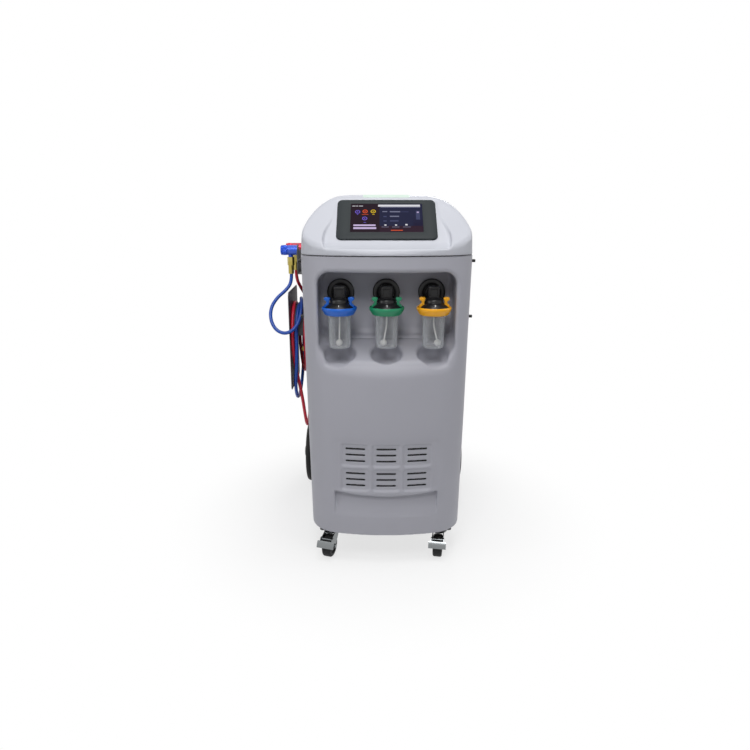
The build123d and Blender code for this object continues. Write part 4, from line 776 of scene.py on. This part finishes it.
def lofted(loops, closed=False):
    """Faces through loops of equal length, capped at both ends or closed on themselves."""
    size = len(loops[0])
    points = [point for loop in loops for point in loop]
    faces = []
    pairs = [(number, number + 1) for number in range(len(loops) - 1)]
    if closed:
        pairs.append((len(loops) - 1, 0))
    for low, high in pairs:
        for spot in range(size):
            ahead = (spot + 1) % size
            faces.append((low * size + spot, low * size + ahead, high * size + ahead, high * size + spot))
    if not closed:
        faces.append(tuple(range(size))[::-1])
        faces.append(tuple(range((len(loops) - 1) * size, len(loops) * size)))
    return points, faces


def gathered(parts):
    """Several (points, faces) shapes as one."""
    points, faces = [], []
    for part_points, part_faces in parts:
        start = len(points)
        points += [tuple(point) for point in part_points]
        faces += [tuple(start + corner for corner in face) for face in part_faces]
    return points, faces


def softened(profile, closed=False, steps=4):
    """A profile of (radius, height) or (radius, height, rounding) with its corners rounded."""
    points = []
    count = len(profile)
    for number, corner in enumerate(profile):
        spot = Vector(corner[:2])
        at_end = not closed and number in (0, count - 1)
        if len(corner) == 2 or at_end:
            points.append(tuple(spot))
            continue
        back = Vector(profile[number - 1][:2]) - spot
        ahead = Vector(profile[(number + 1) % count][:2]) - spot
        start = spot + back.normalized() * min(corner[2], back.length / 2)
        end = spot + ahead.normalized() * min(corner[2], ahead.length / 2)
        for step in range(steps + 1):
            share = step / steps
            bend = start * (1 - share) ** 2 + spot * (2 * share * (1 - share)) + end * share ** 2
            points.append(tuple(bend))
    return points


def turned(profile, place, along=(0, 0, 1), segments=64, closed=False,
           flutes=0, flute_depth=0.0, fluted=()):
    """A shape turned round an axis from place, with flutes along the profile's named steps."""
    aim = Vector((0, 0, 1)).rotation_difference(Vector(along)).to_matrix()
    loops = []
    for number, (radius, height) in enumerate(profile):
        loop = []
        for step in range(segments):
            angle = math.tau * step / segments
            wide = max(radius, 0.02)
            if number in fluted:
                wide -= flute_depth * (0.5 - 0.5 * math.cos(flutes * angle))
            spot = Vector((wide * math.cos(angle), wide * math.sin(angle), height))
            loop.append(Vector(place) + aim @ spot)
        loops.append(loop)
    return lofted(loops, closed)


def rounded_outline(width, height, radius, steps=8):
    """A rectangle's outline with round corners, in its own plane, centred."""
    outline = []
    for number, (side_x, side_y) in enumerate(((1, -1), (1, 1), (-1, 1), (-1, -1))):
        middle = (side_x * (width / 2 - radius), side_y * (height / 2 - radius))
        for step in range(steps + 1):
            angle = math.radians(number * 90 - 90 + 90 * step / steps)
            outline.append((middle[0] + radius * math.cos(angle), middle[1] + radius * math.sin(angle)))
    return outline


def shrunk(outline, distance):
    """An anticlockwise outline moved inwards by a distance."""
    moved = []
    for number, corner in enumerate(outline):
        before = Vector(corner) - Vector(outline[number - 1])
        after = Vector(outline[(number + 1) % len(outline)]) - Vector(corner)
        inward = (Vector((-before.y, before.x)).normalized() + Vector((-after.y, after.x)).normalized())
        inward = inward / max(inward.length_squared / 2, 0.5)
        moved.append(tuple(Vector(corner) + inward * distance))
    return moved


def slab(outline, low, high, edge, place):
    """An outline given thickness, its upper and lower edges rounded, set in place by a matrix."""
    levels = ((edge, low), (edge * 0.3, low + edge * 0.3), (0, low + edge), (0, high - edge),
              (edge * 0.3, high - edge * 0.3), (edge, high))
    return lofted([
        [place @ Vector((*corner, lift)) for corner in shrunk(outline, inset)] for inset, lift in levels
    ])


def made_plain(piece):
    """A new plain mesh of what an object shows."""
    return bpy.data.meshes.new_from_object(piece.evaluated_get(bpy.context.evaluated_depsgraph_get()))


def repeat_tree():
    """A tree that repeats a mesh over an upright grid, bowed back by a radius, or flat where that is 0."""
    tree = bpy.data.node_groups.new("repeat_on_grid", "GeometryNodeTree")
    for label, kind in (("Geometry", "Geometry"), ("Columns", "Int"), ("Rows", "Int"), ("Pitch X", "Float"),
                        ("Pitch Z", "Float"), ("Bow Radius", "Float"), ("Material", "Material")):
        tree.interface.new_socket(label, in_out="INPUT", socket_type=f"NodeSocket{kind}")
    tree.interface.new_socket("Geometry", in_out="OUTPUT", socket_type="NodeSocketGeometry")
    given = tree.nodes.new("NodeGroupInput").outputs
    wide, high = (
        math_node(tree, "MULTIPLY", math_node(tree, "SUBTRACT", given[count], 1), given[pitch])
        for count, pitch in (("Columns", "Pitch X"), ("Rows", "Pitch Z"))
    )
    grid = fed(tree.nodes.new("GeometryNodeMeshGrid"), Vertices_X=given["Columns"], Vertices_Y=given["Rows"],
               Size_X=wide, Size_Y=high)
    position = tree.nodes.new("GeometryNodeInputPosition").outputs[0]
    place = fed(tree.nodes.new("ShaderNodeSeparateXYZ"), Vector=position).outputs
    turn = math_node(tree, "ARCSINE", math_node(tree, "DIVIDE", place["X"], given["Bow Radius"]))
    fall = math_node(tree, "SUBTRACT", 1, math_node(tree, "COSINE", turn))
    back = math_node(tree, "MULTIPLY", fall, given["Bow Radius"])
    upright = fed(tree.nodes.new("ShaderNodeCombineXYZ"), X=place["X"], Y=back, Z=place["Y"])
    stood = fed(tree.nodes.new("GeometryNodeSetPosition"), Geometry=grid.outputs["Mesh"],
                Position=upright.outputs[0])
    facing = fed(tree.nodes.new("ShaderNodeCombineXYZ"), Z=turn)
    copies = fed(tree.nodes.new("GeometryNodeInstanceOnPoints"), Points=stood.outputs[0],
                 Instance=given["Geometry"], Rotation=facing.outputs[0])
    real = fed(tree.nodes.new("GeometryNodeRealizeInstances"), Geometry=copies.outputs[0])
    dressed = fed(tree.nodes.new("GeometryNodeSetMaterial"), Geometry=real.outputs[0],
                  Material=given["Material"])
    fed(tree.nodes.new("NodeGroupOutput"), Geometry=dressed.outputs[0])
    return tree


REPEAT = repeat_tree()


def repeated(shape, place, finish, columns, rows, pitch_x, pitch_z=0, bow=0):
    """A shape of (points, faces) about the origin, repeated over a grid whose middle is at a place."""
    mesh = bpy.data.meshes.new("repeated")
    mesh.from_pydata(list(shape[0]), [], list(shape[1]))
    seed = added("repeated", mesh)
    modifier = seed.modifiers.new("repeat", "NODES")
    modifier.node_group = REPEAT
    values = {"Columns": columns, "Rows": rows, "Pitch X": float(pitch_x), "Pitch Z": float(pitch_z),
              "Bow Radius": float(bow), "Material": finishes[finish]}
    for item in REPEAT.interface.items_tree:
        if item.name in values:
            modifier[item.identifier] = values[item.name]
    result = made_plain(seed)
    seed.modifiers.remove(modifier)
    bpy.data.objects.remove(seed)
    points = [tuple(Vector(place) + vertex.co) for vertex in result.vertices]
    return points, [tuple(face.vertices) for face in result.polygons]


def soft_skins():
    """The front panel and the hood, each one soft moulding."""
    xs = stations((-267, -150, 4.5), (-150, 150, 4), (150, 267, 4.5))
    ys = stations((-398, -338, 3), (-338, -246, 5), (-246, -222, 3))
    zs = stations((101, 236, 5), (236, 262, 3), (262, 431, 2.1), (431, 640, 10), (640, 760, 4),
                  (760, 930, 10), (930, 1002, 3))
    points, faces = skin_of(panel_field, xs, ys, zs)
    finished("front_moulding", points, faces.tolist(), "front_paint", nodes_replaced=("front_panel",),
             recalc=False)
    xs = stations((-270, -140, 3.2), (-140, 140, 6), (140, 270, 3.2))
    ys = stations((-395, -110, 3.2), (-110, 290, 10), (290, 322, 4))
    zs = stations((998, 1181, 3))
    points, faces = skin_of(hood_field, xs, ys, zs)
    finished("hood_moulding", points, faces.tolist(), "hood_paint", nodes_replaced=("hood",), recalc=False)


def seam_gasket():
    """The dark strip that shows in the gap under the hood."""
    loops = []
    outer, inner = GASKET_INSETS
    low, high = SEAM_Z - GASKET_HALF_H, SEAM_Z + GASKET_HALF_H
    for inset, z in ((outer, low), (outer, high), (inner, high), (inner, low)):
        outline = []
        half = HALF_AT_SEAM - inset
        corner_x = HALF_AT_SEAM - CORNER_R
        bow_y = FRONT_Y + BOW_R
        corner_y = bow_y - math.sqrt((BOW_R - CORNER_R) ** 2 - corner_x ** 2)
        spread = math.asin(corner_x / (BOW_R - CORNER_R))
        for step in range(-BOW_STEPS, BOW_STEPS + 1):
            angle = spread * step / BOW_STEPS
            outline.append((math.sin(angle) * (BOW_R - inset), bow_y - math.cos(angle) * (BOW_R - inset)))
        for step in range(1, CORNER_STEPS + 1):
            angle = spread + (math.pi / 2 - spread) * step / CORNER_STEPS
            outline.append((corner_x + math.sin(angle) * (CORNER_R - inset),
                            corner_y - math.cos(angle) * (CORNER_R - inset)))
        right = [(half, y) for y in (-100, 100, BACK_Y - 8)] + [(half - 6, BACK_Y - inset)]
        left = [(-x, y) for x, y in reversed(right)]
        front_left = [(-x, y) for x, y in reversed(outline[2 * BOW_STEPS + 1:])]
        loops.append([(x, y, z) for x, y in front_left + outline + right + left])
    points, faces = lofted(loops, closed=True)
    finished("seam_gasket", points, faces, "black_plastic")


def vent_liners():
    """Black plates behind the vents' slots, following the bow of the front: painted shade that stands in for
    the dark inside of the cabinet seen through the slots.
    """
    outline = rounded_outline(SLOT_L + 2 * SHADE_PLATE_MARGIN, 2 * SLOT_PITCH + 4 * SHADE_PLATE_MARGIN, 3, 3)
    shade_plate = slab(outline, 0, SHADE_PLATE_T, 0.5, UPRIGHT)
    place = (0, FRONT_Y - FRONT_SWELL + SHADE_PLATE_DEPTH, VENT_TOP_ROW_Z - VENT_PITCH_Z / 2)
    points, faces = repeated(shade_plate, place, "black_plastic", VENT_COLUMNS, VENT_ROWS,
                             VENT_PITCH_X, VENT_PITCH_Z, BOW_R)
    finished("vent_liners", points, faces, "black_plastic")


def castor_seats():
    """The castors' top plates, with the kingpin's head under each."""
    outline = rounded_outline(CASTOR_PLATE_W, CASTOR_PLATE_DEPTH, CASTOR_PLATE_R)
    plate = slab(outline, CASTOR_H - CASTOR_PLATE_T, CASTOR_H, 1, Matrix())
    steps = [(0, 21.5), (9, 21.5, 2), (9, 15, 1), (24, 12, 3), (28, 9, 3), (28, 4, 2), (0, 3)]
    head = softened([(radius, CASTOR_H - drop, *rounding) for radius, drop, *rounding in steps])
    seat = gathered([plate, turned(head, (0, 0, 0), segments=48)])
    points, faces = repeated(seat, (0, CASTOR_Y, 0), "frame_steel", 2, 1, 2 * CASTOR_X)
    finished("castor_seats", points, faces, "frame_steel", nodes_replaced=("castor_plates",))


def on_slope():
    """The matrix that stands a shape on the hood's slope: across, up the slope, and off it."""
    turn = Matrix.Rotation(math.radians(SCREEN_SLOPE), 4, "X")
    return Matrix.Translation((0, SEAT_Y, SEAT_Z)) @ turn


def screen():
    """The bezel with its soft edge, and the glass with its picture of plain bars and dots."""
    stand = on_slope()
    loops = []
    middle = BEZEL_H / 2 - 1
    for inset, lift in ((0, 0), (0, 3.2), (0.6, 4.7), (2.2, BEZEL_T)):
        outline = rounded_outline(BEZEL_W - 2 * inset, BEZEL_H - 2 * inset, BEZEL_R - inset)
        loops.append([stand @ Vector((x, y + middle, lift)) for x, y in outline])
    glass_middle = DISPLAY_START + DISPLAY_H / 2
    for grow, lift in ((1.2, BEZEL_T), (0.4, BEZEL_T - 0.5), (0.2, BEZEL_T - 2), (0.2, 0)):
        outline = rounded_outline(DISPLAY_W + 2 * grow, DISPLAY_H + 2 * grow, 2 + grow)
        loops.append([stand @ Vector((x, y + glass_middle, lift)) for x, y in outline])
    points, faces = lofted(loops, closed=True)
    finished("bezel_moulding", points, faces, "bezel_plastic", nodes_replaced=("screen_bezel",))
    place = stand @ Matrix.Translation((0, glass_middle, 0))
    glass = rounded_outline(DISPLAY_W, DISPLAY_H, 2)
    points, faces = slab(glass, 0.4, DISPLAY_T, 0.3, place)
    finished("display_glass", points, faces, "screen_glass", nodes_replaced=("touch_display",))


def picture():
    """The lit picture on the glass, in parts given from its upper left corner."""
    grounds = [
        ("maroon", 0, 0, 88, 127), ("navy", 88, 0, 220, 100), ("dusk", 88, 100, 220, 127),
        ("dusk", 190, 60, 220, 100),
    ]
    marks = [
        ("white", 4, 9, 14, 11.5), ("white", 16, 9, 22, 11.5), ("white", 25, 9, 37, 11.5),
        ("white", 84, 4, 214, 13), ("grey", 92, 14, 214, 17),
        ("purple", 19, 48, 23, 50), ("orange", 34, 48, 54, 49.6), ("yellow", 66, 48, 73, 50),
        ("purple", 40, 84, 47, 86), ("lilac", 9, 94, 76, 101), ("lilac", 9, 106, 78, 114),
        ("grey", 97, 34, 112, 38), ("grey", 120, 34, 152, 39), ("slate", 154, 36, 178, 38),
        ("slate", 100, 56, 110, 61), ("grey", 120, 55, 148, 60),
        ("slate", 100, 76, 110, 81), ("slate", 120, 75, 146, 81),
        ("white", 103, 94, 109, 99), ("white", 135, 94, 141, 99), ("white", 166, 92, 173, 98),
        ("grey", 94, 104, 116, 106), ("grey", 126, 104, 148, 106), ("grey", 159, 104, 182, 106),
        ("orange", 122, 118, 158, 121), ("slate", 200, 32, 212, 72), ("lilac", 203, 36, 209, 42),
    ]
    stand = on_slope() @ Matrix.Translation((-DISPLAY_W / 2, DISPLAY_START, 0))
    by_colour = {}
    for end, parts in ((PICTURE_GROUND, grounds), (PICTURE_MARK, marks)):
        for colour, left, top, right, foot in parts:
            corners = ((left, foot), (right, foot), (right, top), (left, top))
            shape = lofted([
                [stand @ Vector((x, DISPLAY_H - y, lift)) for x, y in corners] for lift in (PICTURE_FOOT, end)
            ])
            by_colour.setdefault(colour, []).append(shape)
    dots = (("purple", 21, 37), ("orange", 44, 35), ("yellow", 69, 35), ("purple", 43, 67))
    for colour, across, down in dots:
        spot = stand @ Vector((across, DISPLAY_H - down, PICTURE_DOT))
        up = stand.to_3x3() @ Vector((0, 0, 1))
        ring = [(5.4, -0.1), (8.0, -0.1), (8.0, 0.1), (5.4, 0.1)]
        by_colour[colour].append(turned(ring, spot, up, 24, closed=True))
        by_colour[colour].append(turned([(0, -0.1), (2.0, -0.1), (2.0, 0.1), (0, 0.1)], spot, up, 12))
    for colour, shapes in by_colour.items():
        points, faces = gathered(shapes)
        finished(f"picture_{colour}", points, faces, "screen_glass", finish=PICTURE[colour])


def cup(number, x, body):
    """A bottle's clear cup, with a wall, a foot and a flange."""
    foot, top = CUP_FOOT_Z, CUP_TOP_Z
    profile = softened([
        (0, foot + 2.5), (CUP_FOOT_R - 14, foot + 2, 6), (CUP_FOOT_R - 10, foot, 3), (CUP_FOOT_R, foot, 9),
        (CUP_TOP_R, top - 3, 1), (FLANGE_R, top - 3, 0.8), (FLANGE_R, top, 0.8), (CUP_TOP_R - 2, top, 0.5),
        (CUP_FOOT_R - 2, foot + 3, 7), (0, foot + 4.5),
    ])
    points, faces = turned(profile, (x, BOTTLE_Y, 0), segments=72)
    finished(f"cup_{number}", points, faces, "bottle_clear", body, (f"bottle_{number}",))


def ring(number, x, body, slot):
    """The coloured ring that flares up from the cup's top, with its two ears."""
    top = CUP_TOP_Z
    profile = softened([
        (CUP_TOP_R - 2, top), (44, top, 3), (50, RING_TOP_Z - 14, 6), (RING_R, RING_TOP_Z - 8, 4),
        (RING_R, RING_TOP_Z, 4), (47, RING_TOP_Z, 3.5), (44.5, top + 9, 2), (44.5, top + 3),
        (CUP_TOP_R - 2, top + 3),
    ], closed=True)
    parts = [turned(profile, (x, BOTTLE_Y, 0), segments=96, closed=True)]
    right_ear = [(-9, 0), (10, 0), (11, 5), (9, 9), (4, 13), (3, 16), (4, 19), (10, 24), (11, 28), (9, 31),
                 (4, 32), (-5, 31), (-8, 28), (-6, 22), (-4, 16), (-6, 10), (-9, 6)]
    left_ear = [(-across, up) for across, up in reversed(right_ear)]
    for side, ear in ((-1, left_ear), (1, right_ear)):
        stand = Matrix.Translation((x + side * EAR_OUT, BOTTLE_Y - 6, EAR_TOP_Z - 32)) @ UPRIGHT
        parts.append(slab(ear, -7, 7, 1.6, stand))
    points, faces = gathered(parts)
    finished(f"ring_{number}", points, faces, slot, body, (f"bottle_ring_{number}",))


def cap(number, x, body):
    """The black cap: cone and dome, a neck with a lip and two ribs, and the plug into its coupling."""
    top = CUP_TOP_Z
    profile = softened([
        (0, top + 3), (CAP_R, top + 3), (CAP_R, top + 24, 2), (30, top + 36, 2), (28, top + 37, 1),
        (26, top + 49, 14), (0, top + 52),
    ])
    neck = Matrix.Translation((x, BOTTLE_Y + 17, 0))
    lip = Matrix.Translation((x, BOTTLE_Y + 4, NECK_TOP_Z - 5)) @ UPRIGHT
    parts = [
        turned(profile, (x, BOTTLE_Y, 0), segments=72),
        slab(rounded_outline(NECK_W, NECK_DEPTH, 5), top + 12, NECK_TOP_Z, 2.5, neck),
        slab(rounded_outline(36, 5, 2, 3), -1, 5, 1.6, lip),
    ]
    for across in (-13, 13):
        rib = Matrix.Translation((x + across, BOTTLE_Y + 4, NECK_TOP_Z - 17)) @ UPRIGHT
        parts.append(slab(rounded_outline(6, 22, 2, 3), -1, 4, 1.4, rib))
    parts.append(turned([(0, 0), (13, 0), (13, 70), (0, 70)], (x, -319, PLUG_Z), (0, 1, 0), 40))
    points, faces = gathered(parts)
    finished(f"cap_{number}", points, faces, "black_plastic", body, (f"bottle_cap_{number}",))


def numeral(number, x, body):
    """The bottle's plain number on its cap."""
    words = bpy.data.curves.new(f"numeral_{number}", "FONT")
    words.body = str(number)
    words.size = NUMERAL_SIZE * MM
    words.extrude = 0.4 * MM
    words.align_x = "CENTER"
    words.align_y = "CENTER"
    written = added(f"numeral_{number}", words)
    mesh = made_plain(written)
    bpy.data.objects.remove(written)
    place = [part * MM for part in (x, BOTTLE_Y - 37.3, CUP_TOP_Z + 30.4)]
    mesh.transform(Matrix.Translation(place) @ Matrix.Rotation(math.radians(NUMERAL_TILT), 4, "X"))
    dress(added(f"number_{number}", mesh), body, "white_plastic")


def discs():
    """The three black discs on the alcove's back wall that the caps plug into."""
    disc = softened([(0, 0), (DISC_R, 0), (DISC_R, 8, 3.5), (30, 9, 2), (27, 8), (24, 8), (22, 26, 2),
                     (15, 26, 1), (14, 12), (0, 12)])
    shape = turned(disc, (0, 0, 0), (0, -1, 0), 72)
    points, faces = repeated(shape, (0, ALCOVE_BACK_Y, PLUG_Z), "black_plastic", 3, 1,
                             BOTTLE_X[2] - BOTTLE_X[1])
    finished("coupling_discs", points, faces, "black_plastic", nodes_replaced=("wall_couplings",))


def knob(colour, y):
    """A coupler's knurled knob, turned along X."""
    rim, groove = KNOB_R, KNOB_GROOVE_R
    profile = softened([
        (0, 0), (14.5, 0, 1), (rim, 2.4, 1.5), (rim, 5, 0.3), (groove, 5.6, 0.3), (groove, 6.6, 0.3),
        (rim, 7.2, 0.3), (rim, 20, 0.3), (groove, 20.6, 0.3), (groove, 21.8, 0.3), (rim, 22.4, 0.3),
        (rim, KNOB_L, 0.5), (0, KNOB_L),
    ])
    fluted = [
        number for number, (radius, height) in enumerate(profile)
        if radius > FLUTED_R and FLUTED_FROM < height < FLUTED_TO
    ]
    points, faces = turned(profile, (KNOB_X, y, KNOB_Z), (1, 0, 0), 120,
                           flutes=30, flute_depth=0.9, fluted=fluted)
    finished(f"{colour}_knob_grip", points, faces, f"{colour}_anodised", f"{colour}_knob",
             (f"{colour}_coupler_knob",))


for node in frame["record"]["subparts"]:
    shown = nodes[node["node"]]
    shown.data.materials.clear()
    shown.data.materials.append(finishes[node["material_slot"]])

for colour, route, length in (("blue", BLUE_ROUTE, BLUE_LENGTH), ("red", RED_ROUTE, RED_LENGTH)):
    line = hose(f"{colour}_service_hose", route, f"{colour}_rubber")
    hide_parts(f"{colour}_hose")

soft_skins()
seam_gasket()
vent_liners()
castor_seats()
screen()
picture()
for number, (x, slot) in enumerate(zip(BOTTLE_X, ("ring_blue", "ring_green", "ring_yellow")), 1):
    unit = f"bottle_unit_{number}"
    cup(number, x, unit)
    ring(number, x, unit, slot)
    cap(number, x, unit)
    numeral(number, x, unit)
discs()
for colour, y in COUPLER_Y.items():
    knob(colour, y)


def seen_rays(tree):
    """A share of 1 for rays that show the background: straight, by gloss or through glass."""
    path = tree.nodes.new("ShaderNodeLightPath").outputs
    seen = math_node(tree, "MAXIMUM", path["Is Camera Ray"], path["Is Glossy Ray"])
    return math_node(tree, "MAXIMUM", seen, path["Is Transmission Ray"])


def blended(tree, share, first, second):
    """Two shaders mixed by a share."""
    mix = tree.nodes.new("ShaderNodeMixShader")
    for value, socket in zip((share, first, second), mix.inputs):
        tree.links.new(value, socket)
    return mix.outputs[0]


def floor():
    """A white floor that keeps the object's shadow, and grows to plain white away from it."""
    bm = bmesh.new()
    bmesh.ops.create_grid(bm, x_segments=8, y_segments=8, size=FLOOR_HALF)
    mesh = bpy.data.meshes.new("floor")
    bm.to_mesh(mesh)
    bm.free()
    ground = added("floor", mesh)
    material, tree, shader = new_material("floor")
    fed(shader, Base_Color=(0.93, 0.93, 0.93, 1), Roughness=0.9, Specular_IOR_Level=0.05)
    reach = tree.nodes.new("ShaderNodeVectorMath")
    reach.operation = "LENGTH"
    tree.links.new(tree.nodes.new("ShaderNodeTexCoord").outputs["Object"], reach.inputs[0])
    far = tree.nodes.new("ShaderNodeMapRange")
    far.interpolation_type = "SMOOTHSTEP"
    fed(far, Value=reach.outputs["Value"], From_Min=FLOOR_FADE_START, From_Max=FLOOR_FADE_END,
        To_Min=FLOOR_WHITE_NEAR)
    share = math_node(tree, "MULTIPLY", seen_rays(tree), far.outputs["Result"])
    white = fed(tree.nodes.new("ShaderNodeEmission"), Strength=1.0)
    mix = blended(tree, share, shader.outputs[0], white.outputs[0])
    fed(tree.nodes["Material Output"], Surface=mix)
    mesh.materials.append(material)


def lamp(name, place, aim, size, power):
    """A soft square lamp at a place, turned to a point."""
    data = bpy.data.lights.new(name, "AREA")
    data.size = size
    data.energy = power
    light = added(name, data)
    light.location = place
    light.rotation_euler = (Vector(aim) - Vector(place)).to_track_quat("-Z", "Y").to_euler()


def surroundings():
    """A white world for the camera and reflections, and a dimmer one for light."""
    world = bpy.data.worlds.new("studio")
    bpy.context.scene.world = world
    world.use_nodes = True
    tree = world.node_tree
    tree.nodes.clear()
    soft = fed(tree.nodes.new("ShaderNodeBackground"), Color=(0.97, 0.98, 1.0, 1), Strength=WORLD_LIGHT)
    white = fed(tree.nodes.new("ShaderNodeBackground"), Color=(1, 1, 1, 1), Strength=1.0)
    mix = blended(tree, seen_rays(tree), soft.outputs[0], white.outputs[0])
    fed(tree.nodes.new("ShaderNodeOutputWorld"), Surface=mix)


floor()
surroundings()
for values in LAMPS:
    lamp(*values)

bpy.context.scene.view_settings.view_transform = "Standard"
